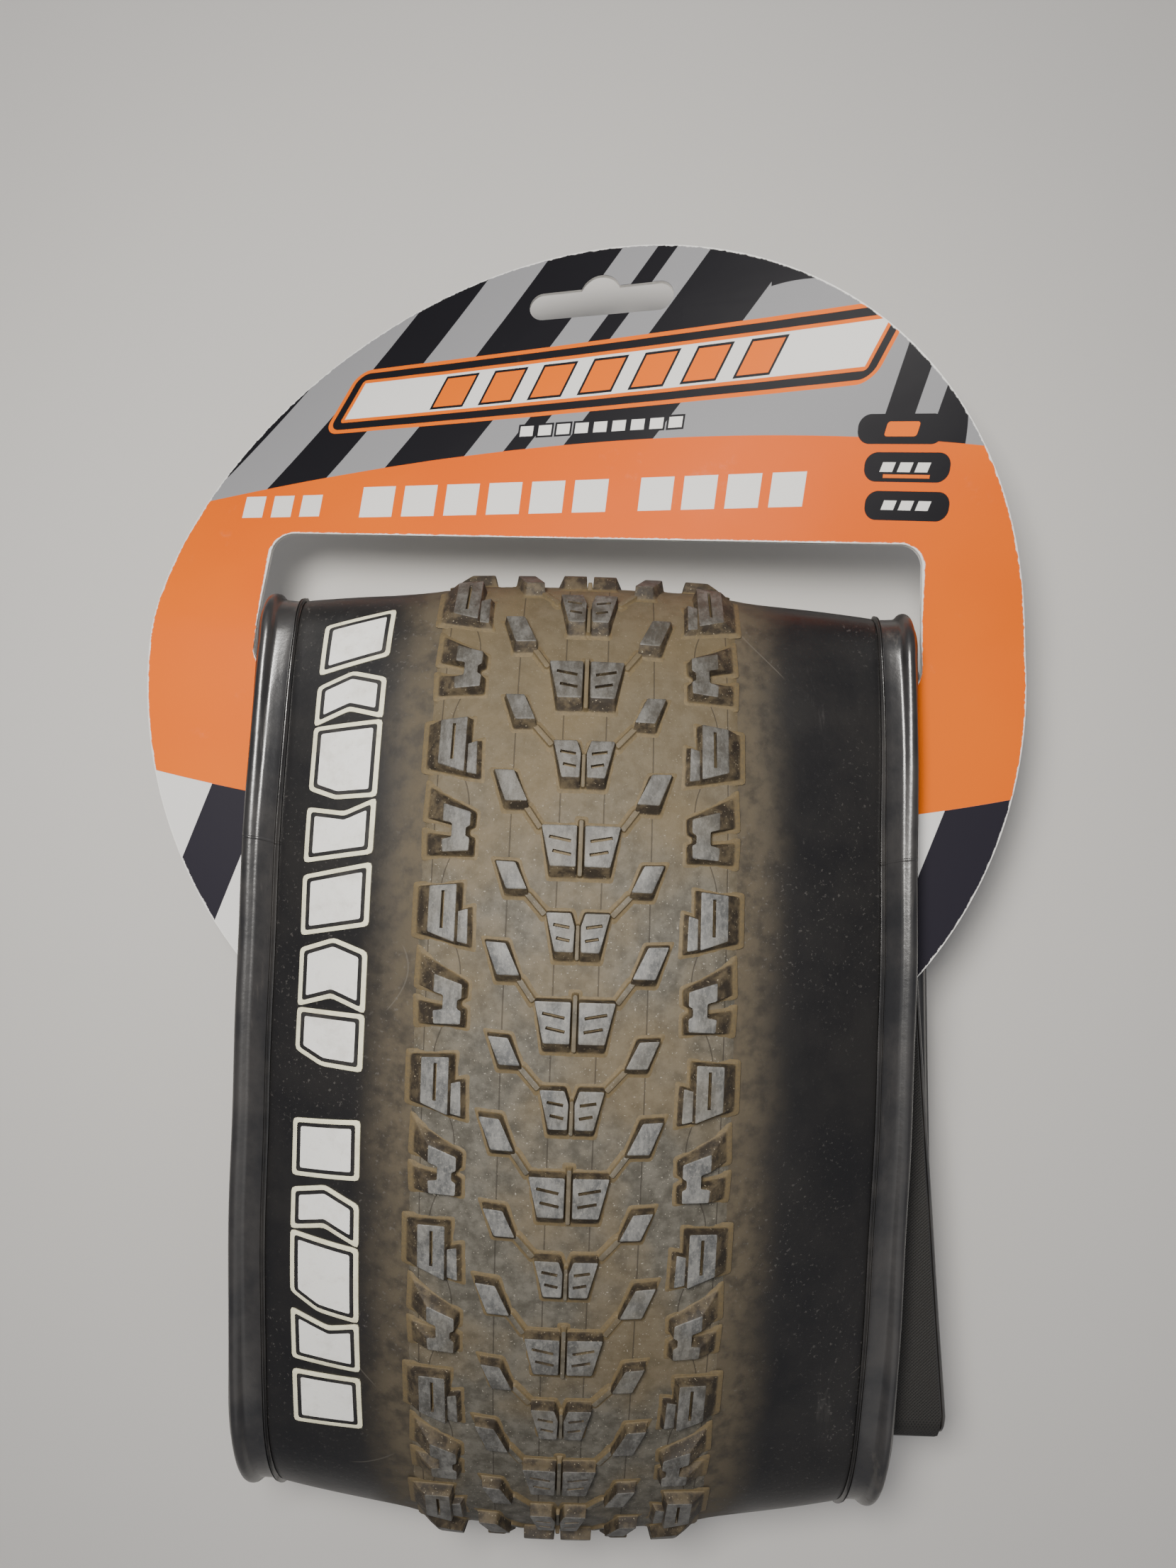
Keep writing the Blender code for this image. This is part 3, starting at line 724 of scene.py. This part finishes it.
centreRibs = [
    {"top": 4.6, "dusty": True,
     "outline": [(-0.4, -1.2), (0.4, -1.2), (0.4, 9.6), (-0.4, 9.6)]},
    {"top": 4.2, "dusty": True,
     "outline": [(-0.35, 18.9), (0.35, 18.9), (0.35, 25.5), (-0.35, 25.5)]},
]


def signedArea(points):
    return sum(a[0] * b[1] - b[0] * a[1] for a, b in zip(points, points[1:] + points[:1])) / 2


def growOutline(points, distance):
    result = []
    for i, (x, y) in enumerate(points):
        before, after = points[i - 1], points[(i + 1) % len(points)]
        first = Vector((x - before[0], y - before[1])).normalized()
        second = Vector((after[0] - x, after[1] - y)).normalized()
        firstOut, secondOut = Vector((first.y, -first.x)), Vector((second.y, -second.x))
        move = (firstOut + secondOut) * (distance / max(0.55, 1.0 + firstOut.dot(secondOut)))
        result.append((x + move.x, y + move.y))
    return result


def softCorners(points, radius):
    result = []
    for i, (x, y) in enumerate(points):
        corner = Vector((x, y))
        before, after = Vector(points[i - 1]), Vector(points[(i + 1) % len(points)])
        toBefore, toAfter = before - corner, after - corner
        cut = min(radius, toBefore.length * 0.4, toAfter.length * 0.4)
        start = corner + toBefore.normalized() * cut
        end = corner + toAfter.normalized() * cut
        middle = (start + end) / 4 + corner / 2
        result += [tuple(start), tuple(middle), tuple(end)]
    return result


def slitOutline(start, end, width=0.62):
    a, b = Vector(start), Vector(end)
    side = (b - a).orthogonal().normalized() * width / 2
    points = [a - side, b - side, b + side, a + side]
    points = [tuple(p) for p in points]
    return points if signedArea(points) > 0 else points[::-1]


def knobShell(knob):
    # rings from the dusty border on the base, up the wall, over the edge and on to the top
    outline = knob["outline"]
    if signedArea([corner[:2] for corner in outline]) < 0:
        outline = outline[::-1]
    top = [corner[:2] for corner in outline]
    foot = [(c[0] + c[2], c[1] + c[3]) if len(c) == 4 else c for c in outline]
    floor, high = tread["floor"], knob["top"]
    rise = high - floor

    def between(part):
        return [(f[0] + (t[0] - f[0]) * part, f[1] + (t[1] - f[1]) * part) for f, t in zip(foot, top)]

    # the low ties are as dusty as the base; the blocks' walls are bare of dust and take the dark wall colour,
    # which is painted shade
    worn, bare, low = (2.0, 0.95, 0.95) if knob.get("dusty") else (0.0, 0.5, 0.72)
    rings = [
        (growOutline(foot, 1.2), floor - 0.15, 1.0, 0.6),
        (growOutline(foot, 0.8), floor + 0.05, 1.0, 0.6),
        (growOutline(foot, 0.34), floor + 0.1, 0.95, 0.5),
        (growOutline(between(0.12), 0.2), floor + 0.12 + rise * 0.1, low, 0.45),
        (growOutline(between(0.5), 0.1), floor + rise * 0.55, bare, 0.4),
        (growOutline(between(0.94), 0.03), high - 0.16, bare - 0.1, 0.3),
        (growOutline(top, -0.03), high - 0.04, worn, 0.3),
        (growOutline(top, -0.16), high, worn, 0.25),
    ]
    verts, dust, faces = [], [], []
    size = len(outline) * 3
    for points, height, dusty, radius in rings:
        verts += [(a, p, height) for a, p in softCorners(points, radius)]
        dust += [dusty] * size
    for ring in range(len(rings) - 1):
        start = ring * size
        for j in range(size):
            k = (j + 1) % size
            faces.append((start + j, start + k, start + size + k, start + size + j))
    faces.append(tuple(range(size))[::-1])
    # the top face, with its slits cut down into the block
    edges = [list(range(len(verts) - size, len(verts)))]
    for start, end in knob.get("slits", ()):
        mouth = slitOutline(start, end)
        first = len(verts)
        # the slits' walls take the dark wall colour as well: painted shade inside the cut
        for grow, depth, dusty in ((0.0, 0.0, worn), (-0.03, 0.06, 0.5), (-0.08, tread["sipeDepth"], 0.9)):
            verts += [(a, p, high - depth) for a, p in growOutline(mouth, grow)]
            dust += [dusty] * 4
        edges.append([first + i for i in range(4)][::-1])
        for i in range(8):
            k = i // 4 * 4 + (i + 1) % 4
            faces.append((first + k, first + i, first + 4 + i, first + 4 + k))
        faces.append(tuple(first + 8 + i for i in range(4)))
    flat = [[Vector((*verts[i][:2], 0.0)) for i in line] for line in edges]
    order = [i for line in edges for i in line]
    for triangle in tessellate_polygon(flat):
        corner = [order[i] for i in triangle]
        if signedArea([verts[i][:2] for i in corner]) < 0:
            corner.reverse()
        faces.append(tuple(corner))
    return np.array(verts), faces, dust


def treadShells():
    shells = []
    for knob in knobs + centreRibs:
        verts, faces, dust = knobShell(knob)
        shells.append((verts, [face[::-1] for face in faces], dust))
        if knob in knobs:
            shells.append((verts * (-1.0, 1.0, 1.0), faces, dust))
    return shells


def tightSpans():
    # where a fold turns the tread in on itself
    spans = []
    first = steps["front"] + steps["end"] + steps["ground"]
    for _ in route["lowerFolds"]:
        first += steps["fold"] + steps["run"]
        last = first + steps["turn"]
        spans.append((stationLength[first] - tread["tightGap"], stationLength[last] + tread["tightGap"]))
        first = last + steps["run"]
    return spans


def treadMaterial():
    material, shader = newMaterial("treadRubber")
    where = coordinates()
    dusty = readValue("dust")
    across, along = flow()
    fine = cloud(where, 1400.0, 4.0, 0.7)
    medium = cloud(where, 320.0, 5.0, 0.65)
    broad = cloud(where, 40.0, 4.0, 0.6)
    specks = ramp(cloud(where, 2300.0, 1.0, 0.5), 0.69, 0.75)
    rubbed = cloud(where, 420.0, 6.0, 0.75, stretch=(1.0, 0.45, 1.0))
    # knob tops darken towards both ends along y, painted shade; the base's upper end gets caked dust
    endY = splitVector(where)[1]
    upper = ramp(endY, *tread["upperEndDustAndShade"], 0.0, 0.85)
    endTopShade = larger(upper, ramp(endY, *tread["lowerEndShade"], 0.55, 0.0))
    endTopShade = endTopShade * ramp(rubbed, 0.3, 0.66, 1.0, 0.55)

    ground = mixColour(ramp(medium, 0.32, 0.68), tread["rubber"], tread["rubberPale"])
    ground = mixColour(ramp(broad, 0.42, 0.66, 0.0, 0.55), ground, tread["dust"])
    ground = mixColour(specks * 0.6, ground, tread["speck"])
    ground = mixColour(upper * 0.75, ground, tread["cakedGround"])
    top = mixColour(ramp(rubbed, 0.36, 0.64), tread["knobTop"], tread["knobWorn"])
    top = mixColour(ramp(fine, 0.5, 0.72, 0.0, 0.5), top, tread["topFleck"])
    top = mixColour(ramp(broad, 0.5, 0.66, 0.0, 0.4), top, tread["topDust"])
    # painted shade on the knob tops towards the ends
    top = mixColour(endTopShade, top, tread["endShadeTop"])
    border = mixColour(ramp(fine, 0.35, 0.65), tread["dust"], tread["border"])
    # painted shade on the knobs' walls, with real dust and specks mixed in
    shadedWall = mixColour(ramp(medium, 0.4, 0.66), tread["shadedWall"], tread["wallDust"])
    shadedWall = mixColour(specks, shadedWall, tread["wallSpeck"])

    # the dust value rises from the knobs' tops over their walls to their borders and the base; the walls' dark
    # colour is painted shade
    drift = (medium - 0.5) * 0.22 + dusty
    onBase = ramp(dusty, 1.4, 1.6)
    tone = mixColour(ramp(dusty, 0.06, 0.3), top, shadedWall)
    tone = mixColour(ramp(drift, 0.62, 0.92), tone, border)
    tone = mixColour(onBase, tone, ground)
    rough = calc("MULTIPLY_ADD", ramp(drift, 0.0, 0.6), 0.16, fine * 0.25 + 0.42, clamp=True)

    # the mould's parting lines
    swing, middle = tread["wander"]
    winding = calc("SINE", along * (math.pi / rowPitch)) * swing + middle
    line = strongest(ramp(abs(abs(across) - offset), 0.05, 0.17, 1.0, 0.0)
                     for offset in (*tread["partings"], winding)) * onBase
    tone = mixColour(line * 0.6, tone, tread["partingLine"])
    dress(shader, tone, rough, line * -0.7 + fine * 0.5 + medium * 0.7, 0.55, 0.00022)
    return material


def buildTread():
    material = treadMaterial()
    edge, floor, base = tread["edge"], tread["floor"], tread["base"]
    half = [(0.0, floor), (0.398, floor), (0.412, floor - 0.06), (0.424, floor - 0.22),
            (0.433, floor - 0.48), (edge, base + 0.2), (edge, base)]
    profile = np.array(refine(mirrored(half)[:-1] + half, 0.014))
    size = len(profile)
    length = np.repeat(stationLength[:-1], size)
    share = np.tile(profile[:, 0], stationCount)
    height = np.tile(profile[:, 1], stationCount)
    uneven = 0.035 * np.sin(length * 1.3 + share * 60) * np.sin(length * 0.37 - share * 90)
    height = height + np.where(height > base + 0.1, uneven, 0.0)
    verts = [place(length, share, height)]
    faces = ringFaces(stationCount, size).tolist()
    uv = [np.column_stack([share * route["frontHalf"], length])]
    dust = [np.full(len(length), 2.0)]
    count = len(length)
    spans, shells = tightSpans(), treadShells()
    scale = rowPitch / route["pitch"]
    start = tread["firstBlock"] % (2 * rowPitch)
    for pair in range(rowPairs):
        for shape, shellFaces, shellDust in shells:
            along = start + pair * 2 * rowPitch + shape[:, 1] * scale
            middle = along.mean() % loopLength
            if any(low < middle < high for low, high in spans):
                continue
            verts.append(place(along, shape[:, 0] / route["frontHalf"], shape[:, 2]))
            uv.append(np.column_stack([shape[:, 0], along]))
            dust.append(np.array(shellDust))
            faces += [tuple(count + i for i in face) for face in shellFaces]
            count += len(shape)
    piece = makeMesh("treadRubber", np.concatenate(verts).tolist(), faces, material,
                     uv=np.concatenate(uv), values={"dust": np.concatenate(dust)})
    claim(piece, "tire", "tread_band")
    print("tread done,", count, "vertices")


# Printed label blocks on the front run's left sidewall, kept free of lettering

label = {
    "across": (0.585, 0.795),
    "face": 2.08,
    "thickness": 0.25,
    "rim": 0.95,             # cream border, mm
    "line": 0.85,            # black line inside it
    "gap": 0.15,             # between two blocks
    "long": (10.6, 119.0),   # mm along the loop
    "short": (123.0, 204.0),
    "lean": 2.6,
    "talls": (15.5, 12.0, 17.0, 13.5, 16.0),
    "least": 8.0,
    # colour, worn colour, roughness: border, line and middle
    "films": [("labelCream", (0.8, 0.77, 0.56), (0.5, 0.45, 0.3), 0.4),
              ("labelBlack", (0.014, 0.013, 0.013), (0.05, 0.045, 0.04), 0.38),
              ("labelWhite", (0.82, 0.81, 0.77), (0.55, 0.52, 0.46), 0.4)],
}


def blockShapes(wide, tall):
    # plain slanted shapes: across, then along
    lean = label["lean"]
    return [
        [(0.0, 0.0), (wide, lean), (wide, tall), (0.0, tall - lean)],
        [(0.0, lean), (wide / 2, 0.0), (wide, lean), (wide, tall), (wide / 2, tall - lean), (0.0, tall)],
        [(0.0, 0.0), (wide, 0.0), (wide, tall - lean), (wide * 0.6, tall), (0.0, tall)],
        [(0.0, 0.0), (wide * 0.45, lean), (wide, lean * 0.4), (wide, tall), (0.0, tall - lean * 0.6)],
    ]


def buildLabel(name, node, span, materials):
    low, high = (share * route["frontHalf"] for share in label["across"])
    rim, line, face = label["rim"], label["line"], label["face"]
    raised = face + label["thickness"]
    at, number = span[0], 0
    bm = bmesh.new()
    while at + label["least"] < span[1]:
        tall = min(label["talls"][number % len(label["talls"])], span[1] - at)
        shapes = blockShapes(high - low, tall)
        outline = [(-(low + a), at + p) for a, p in shapes[number % len(shapes)]]
        if signedArea(outline) < 0:
            outline.reverse()
        rings = []
        for grow, height, radius in ((0.0, face - 0.3, 0.9), (0.0, face + 0.2, 0.9), (-0.12, raised, 0.85),
                                     (-rim, raised, 0.6), (-rim - line, raised, 0.4)):
            points = softCorners(growOutline(outline, grow), radius)
            rings.append([bm.verts.new((a, p, height)) for a, p in points])
        for i, tint in enumerate((0, 0, 0, 1)):
            for j in range(len(rings[0])):
                k = (j + 1) % len(rings[0])
                quad = bm.faces.new((rings[i][j], rings[i + 1][j], rings[i + 1][k], rings[i][k]))
                quad.material_index = tint
        bm.faces.new(rings[-1][::-1]).material_index = 2
        bm.faces.new(rings[0]).material_index = 0
        at += tall + label["gap"]
        number += 1
    sliceMesh(bm, 0, -np.arange(low + 2.0, high, 2.4))
    sliceMesh(bm, 1, np.arange(span[0] + 2.0, span[1], 4.0))
    bm.verts.index_update()
    flat = np.array([v.co for v in bm.verts])
    verts = place(flat[:, 1], flat[:, 0] / route["frontHalf"], flat[:, 2])
    faces = [[v.index for v in face.verts] for face in bm.faces]
    slots = [face.material_index for face in bm.faces]
    bm.free()
    piece = makeMesh(name, verts.tolist(), faces, materials[0], uv=flat[:, :2])
    for material in materials[1:]:
        piece.data.materials.append(material)
    piece.data.polygons.foreach_set("material_index", slots)
    faceOutward(piece)
    claim(piece, "tire", node)


def labelFilm(name, colour, worn, roughness):
    material, shader = newMaterial(name)
    where = coordinates()
    patches = cloud(where, 160.0, 5.0, 0.7)
    specks = ramp(cloud(where, 1300.0, 3.0, 0.6), 0.62, 0.72)
    tone = mixColour(ramp(patches, 0.45, 0.75, 0.0, 0.6), colour, worn)
    tone = mixColour(specks * 0.35, tone, worn)
    dress(shader, tone, patches * 0.2 + roughness, cloud(where, 500.0, 3.0), 0.25, 0.00015)
    return material


def buildLabels():
    materials = [labelFilm(*film) for film in label["films"]]
    buildLabel("longLabel", "label_long", label["long"], materials)
    buildLabel("shortLabel", "label_short", label["short"], materials)
    print("labels done")


# The hang card: a white board with a printed sheet in front and a plain one behind

card = {
    "radius": 97.1,
    "window": (82.5, 51.0, 72.0, 74.0, 5.0),    # top, bottom, half widths there, corner
    "slot": (31.75, 6.2, 11.6, 4.6, 1.2),       # width, height, drop from the top, notch and its lift
    "clearance": 0.55,
    "board": 0.7,
    "sheet": 0.25,
    "gap": 0.15,
    "twist": (58.0, 12.0, 0.0047),              # where it starts, how softly, how much
    "orange": (0.82, 0.15, 0.0),
    "orangeDeep": (0.77, 0.118, 0.0),
    "grey": (0.265, 0.265, 0.275),
    "black": (0.009, 0.0085, 0.011),
    "blackLower": (0.018, 0.016, 0.024),
    "white": (0.8, 0.79, 0.76),
    "whiteLower": (0.74, 0.73, 0.71),
    "bareEdge": 0.22,        # unprinted width round the edges
    "back": (0.78, 0.77, 0.73),
    "core": (0.72, 0.7, 0.66),
    "stain": (0.62, 0.58, 0.5),
    "rubbed": (0.6, 0.56, 0.52),
}


def arcPoints(centre, radius, start, end, steps):
    angles = np.radians(np.linspace(start, end, steps + 1))
    return [(centre[0] + radius * math.cos(a), centre[1] + radius * math.sin(a)) for a in angles]


def cardOutlines():
    topY = cadHigh.y / mm
    rim = arcPoints((0.0, topY - card["radius"]), card["radius"], 0, 360, 180)[:-1]
    top, bottom, topHalf, bottomHalf, c = card["window"]
    window = []
    for x, y, start in ((topHalf - c, top - c, 0), (c - topHalf, top - c, 90),
                        (c - bottomHalf, bottom + c, 180), (bottomHalf - c, bottom + c, 270)):
        window += arcPoints((x, y), c, start, start + 90, 8)
    width, height, drop, notch, lift = card["slot"]
    half, y = height / 2, topY - drop
    reach = width / 2 - half
    angle = math.degrees(math.asin((half - lift) / notch))
    slot = arcPoints((reach, y), half, -90, 90, 14)
    slot += arcPoints((0.0, y + lift), notch, angle, 180 - angle, 16)
    slot += arcPoints((-reach, y), half, 90, 270, 14)
    return rim, window, slot


def cardTwist(x, y):
    start, ease, rate = card["twist"]
    past = max(0.0, y - start)
    return rate * x * past * past / (past + ease)


def cardLayer(name, node, material, low, high):
    bm = bmesh.new()
    edges = []
    for outline in cardOutlines():
        ring = [bm.verts.new((x, y, low)) for x, y in outline]
        edges += [bm.edges.new((a, b)) for a, b in zip(ring, ring[1:] + ring[:1])]
    filled = bmesh.ops.triangle_fill(bm, use_beauty=True, use_dissolve=False, edges=edges)
    flat = [f for f in filled["geom"] if isinstance(f, bmesh.types.BMFace)]
    raised = bmesh.ops.extrude_face_region(bm, geom=flat)["geom"]
    for vert in raised:
        if isinstance(vert, bmesh.types.BMVert):
            vert.co.z = high
    sliceMesh(bm, 1, range(62, 146, 7))
    sliceMesh(bm, 0, range(-90, 91, 12))
    bmesh.ops.recalc_face_normals(bm, faces=list(bm.faces))
    bm.verts.index_update()
    verts = [(v.co.x * mm, v.co.y * mm, (v.co.z + cardTwist(v.co.x, v.co.y)) * mm) for v in bm.verts]
    faces = [[v.index for v in face.verts] for face in bm.faces]
    bm.free()
    piece = makeMesh(name, verts, faces, material)
    piece.data.set_sharp_from_angle(angle=math.radians(60))
    claim(piece, "card", node)


def boardMaterial(name, colour):
    material, shader = newMaterial(name)
    where = coordinates()
    fibre = cloud(where, 900.0, 5.0, 0.7, stretch=(1.0, 0.35, 1.0))
    tone = mixColour(ramp(fibre, 0.35, 0.7), colour, tuple(c * 0.88 for c in colour))
    tone = mixColour(ramp(cloud(where, 35.0), 0.55, 0.8, 0.0, 0.4), tone, card["stain"])
    dress(shader, tone, 0.82, fibre, 0.3, 0.0001)
    return material


# Flat shapes for the print: each gives the distance outside its edge, in mm

def turned(x, y, centre, turn, lean):
    c, s = math.cos(math.radians(turn)), math.sin(math.radians(turn))
    dx, dy = x - centre[0], y - centre[1]
    v = dy * c - dx * s
    return dx * c + dy * s - v * lean, v


def boxDistance(x, y, centre, size, turn=0.0, lean=0.0, corner=0.0):
    u, v = turned(x, y, centre, turn, lean)
    a, b = abs(u) - (size[0] / 2 - corner), abs(v) - (size[1] / 2 - corner)
    if not corner:
        return larger(a, b)
    a2, b2 = larger(a, 0.0), larger(b, 0.0)
    return calc("SQRT", a2 * a2 + b2 * b2) + smaller(larger(a, b), 0.0) - corner


def roundDistance(x, y, centre, radius):
    dx, dy = x - centre[0], y - centre[1]
    return calc("SQRT", dx * dx + dy * dy) - radius


def rowDistance(x, y, start, step, size, turn, lean, count):
    # a row of equal slanted blocks, repeated along one line
    u, v = turned(x, y, start, turn, lean)
    number = smaller(larger(calc("FLOOR", u * (1 / step)), 0.0), count - 1.0)
    local = u - (number * step + step / 2)
    return larger(abs(local) - size[0] / 2, abs(v) - size[1] / 2)


def inside(distance, blur=0.07):
    return ramp(distance, -blur, blur, 1.0, 0.0)


def nearest(distances):
    return reduce(smaller, distances)


stripes = {
    # height and slant, then start and end of each dark stripe, in mm across
    "upper": (97.0, 53.0, [(-100.0, -84.0), (-72.0, -60.4), (-48.7, -32.5), (-24.4, -19.8), (-11.8, 7.0)]),
    "side": (115.0, 76.0, [(62.5, 68.5), (73.0, 78.5), (85.5, 90.0)]),
    "lower": (20.0, 70.0, [(-84.0, -71.4), (78.1, 95.0)]),
}


def stripeDistance(x, y, group):
    height, turn, spans = stripes[group]
    along = 1.0 / math.tan(math.radians(turn))
    q = (y - height) * -along + x
    return nearest(abs(q - (low + high) / 2) - (high - low) / 2 for low, high in spans)


def printMaterial():
    material, shader = newMaterial("cardPrint")
    where = coordinates()
    scaled = addNode("VectorMath")
    scaled.operation = "SCALE"
    feed(1 / mm, scaled.inputs["Scale"])
    feed(where, scaled.inputs[0])
    x, y = splitVector(Value(scaled.outputs[0]))
    black, white, grey, orange = (card[key] for key in ("black", "white", "grey", "orange"))

    # grey field with dark slanted stripes and a plain hooked band at its right
    tone = mixColour(inside(stripeDistance(x, y, "upper")), grey, black)
    hook = abs(roundDistance(x, y, (43.0, 104.0), 33.0)) - 1.6
    hook = larger(hook, 36.0 - x)
    wedge = boxDistance(x, y, (61.0, 137.0), (70.0, 9.0), -38.0)
    wedge = larger(wedge, -roundDistance(x, y, (55.0, 118.0), 17.5))
    side = larger(stripeDistance(x, y, "side"), 60.0 - x)
    tone = mixColour(inside(nearest([hook, wedge, side])), tone, black)

    # white stripes on black at the lower edge, then the orange field between two long arcs
    above = roundDistance(x, y, (30.0, -379.5), 484.2)
    below = -roundDistance(x, y, (0.0, 461.9), 444.0)
    lower = mixColour(inside(stripeDistance(x, y, "lower")), card["whiteLower"], card["blackLower"])
    tone = mixColour(inside(below), tone, lower)
    field = mixColour(ramp(cloud(where, 9.0, 3.0), 0.35, 0.65), orange, card["orangeDeep"])
    tone = mixColour(inside(larger(above, -below)), tone, field)

    # a long badge: orange, black, orange and white inside one another, with slanted bars
    badge = boxDistance(x, y, (1.0, 118.6), (121.0, 15.5), 3.6, 0.55, 3.4)
    for grow, colour in ((0.0, orange), (0.9, black), (2.6, orange), (3.4, white)):
        tone = mixColour(inside(badge + grow), tone, colour)
    bars = rowDistance(x, y, (-38.0, 116.1), 11.2, (6.6, 6.6), 3.6, 0.55, 7)
    tone = mixColour(inside(bars - 0.55), tone, black)
    tone = mixColour(inside(bars), tone, orange)

    # rows of plain blocks, and three dark tabs
    dashes = rowDistance(x, y, (-17.5, 106.5), 4.1, (2.9, 2.3), 2.2, 0.15, 9)
    tone = mixColour(inside(dashes - 0.45), tone, black)
    tabs = nearest(boxDistance(x, y, centre, (17.6, 5.9), -1.0, 0.0, 2.6)
                   for centre in ((64.4, 105.4), (66.4, 97.9), (67.2, 90.2)))
    tone = mixColour(inside(tabs), tone, black)
    blocks = [dashes]
    for start, step, size, count in (((-80.5, 88.6), 6.6, (4.6, 5.2), 3),
                                     ((-53.5, 90.1), 9.6, (7.4, 7.2), 6),
                                     ((9.0, 92.3), 9.4, (7.2, 7.2), 4)):
        blocks.append(rowDistance(x, y, start, step, size, 2.0, 0.12, count))
    for start in ((60.6, 98.0), (61.6, 90.4)):
        blocks.append(rowDistance(x, y, start, 3.6, (2.6, 1.9), -1.0, 0.3, 3))
    tone = mixColour(inside(nearest(blocks)), tone, white)
    spots = smaller(boxDistance(x, y, (64.6, 105.4), (6.6, 2.9), -1.0, 0.2, 0.6),
                    boxDistance(x, y, (66.4, 96.1), (9.6, 0.7), -1.0))
    tone = mixColour(inside(spots), tone, orange)

    # unprinted rim round the card and its window
    bareWidth = card["bareEdge"]
    rim = roundDistance(x, y, (0.0, cadHigh.y / mm - card["radius"]), card["radius"] - bareWidth)
    top, bottom, topHalf, bottomHalf, corner = card["window"]
    taper = (bottomHalf - topHalf) / (top - bottom)
    opening = boxDistance(y * taper + abs(x) - taper * top, y, (0.0, (top + bottom) / 2),
                          (2 * (topHalf + bareWidth), top - bottom + 2 * bareWidth),
                          0.0, 0.0, corner + bareWidth)
    bare = larger(rim, -opening) + cloud(where, 700.0, 4.0, 0.7) * 0.9 - 0.42
    tone = mixColour(inside(-bare, 0.12), tone, white)

    # handling marks
    rubbed = ramp(cloud(where, 45.0, 6.0, 0.75), 0.62, 0.8, 0.0, 0.16)
    tone = mixColour(rubbed, tone, card["rubbed"])
    rough = cloud(where, 30.0) * 0.2 + 0.42
    dress(shader, tone, rough, cloud(where, 420.0, 3.0), 0.12, 0.0001, specular=0.15)
    return material


def buildCard():
    under = runHeight(2 * len(route["lowerFolds"])) + card["clearance"]
    board = under + card["sheet"] + card["gap"]
    front = board + card["board"] + card["gap"]
    cardLayer("cardBackSheet", "card_back_sheet",
              boardMaterial("cardBackPaper", card["back"]), under, under + card["sheet"])
    cardLayer("cardBoard", "card_board",
              boardMaterial("cardBoardCore", card["core"]), board, board + card["board"])
    cardLayer("cardFrontSheet", "card_front_sheet", printMaterial(),
              front, front + card["sheet"])
    print("hang card done")


buildStage()
buildCasing()
buildTread()
buildSidewalls()
buildBeads()
buildLabels()
buildCard()
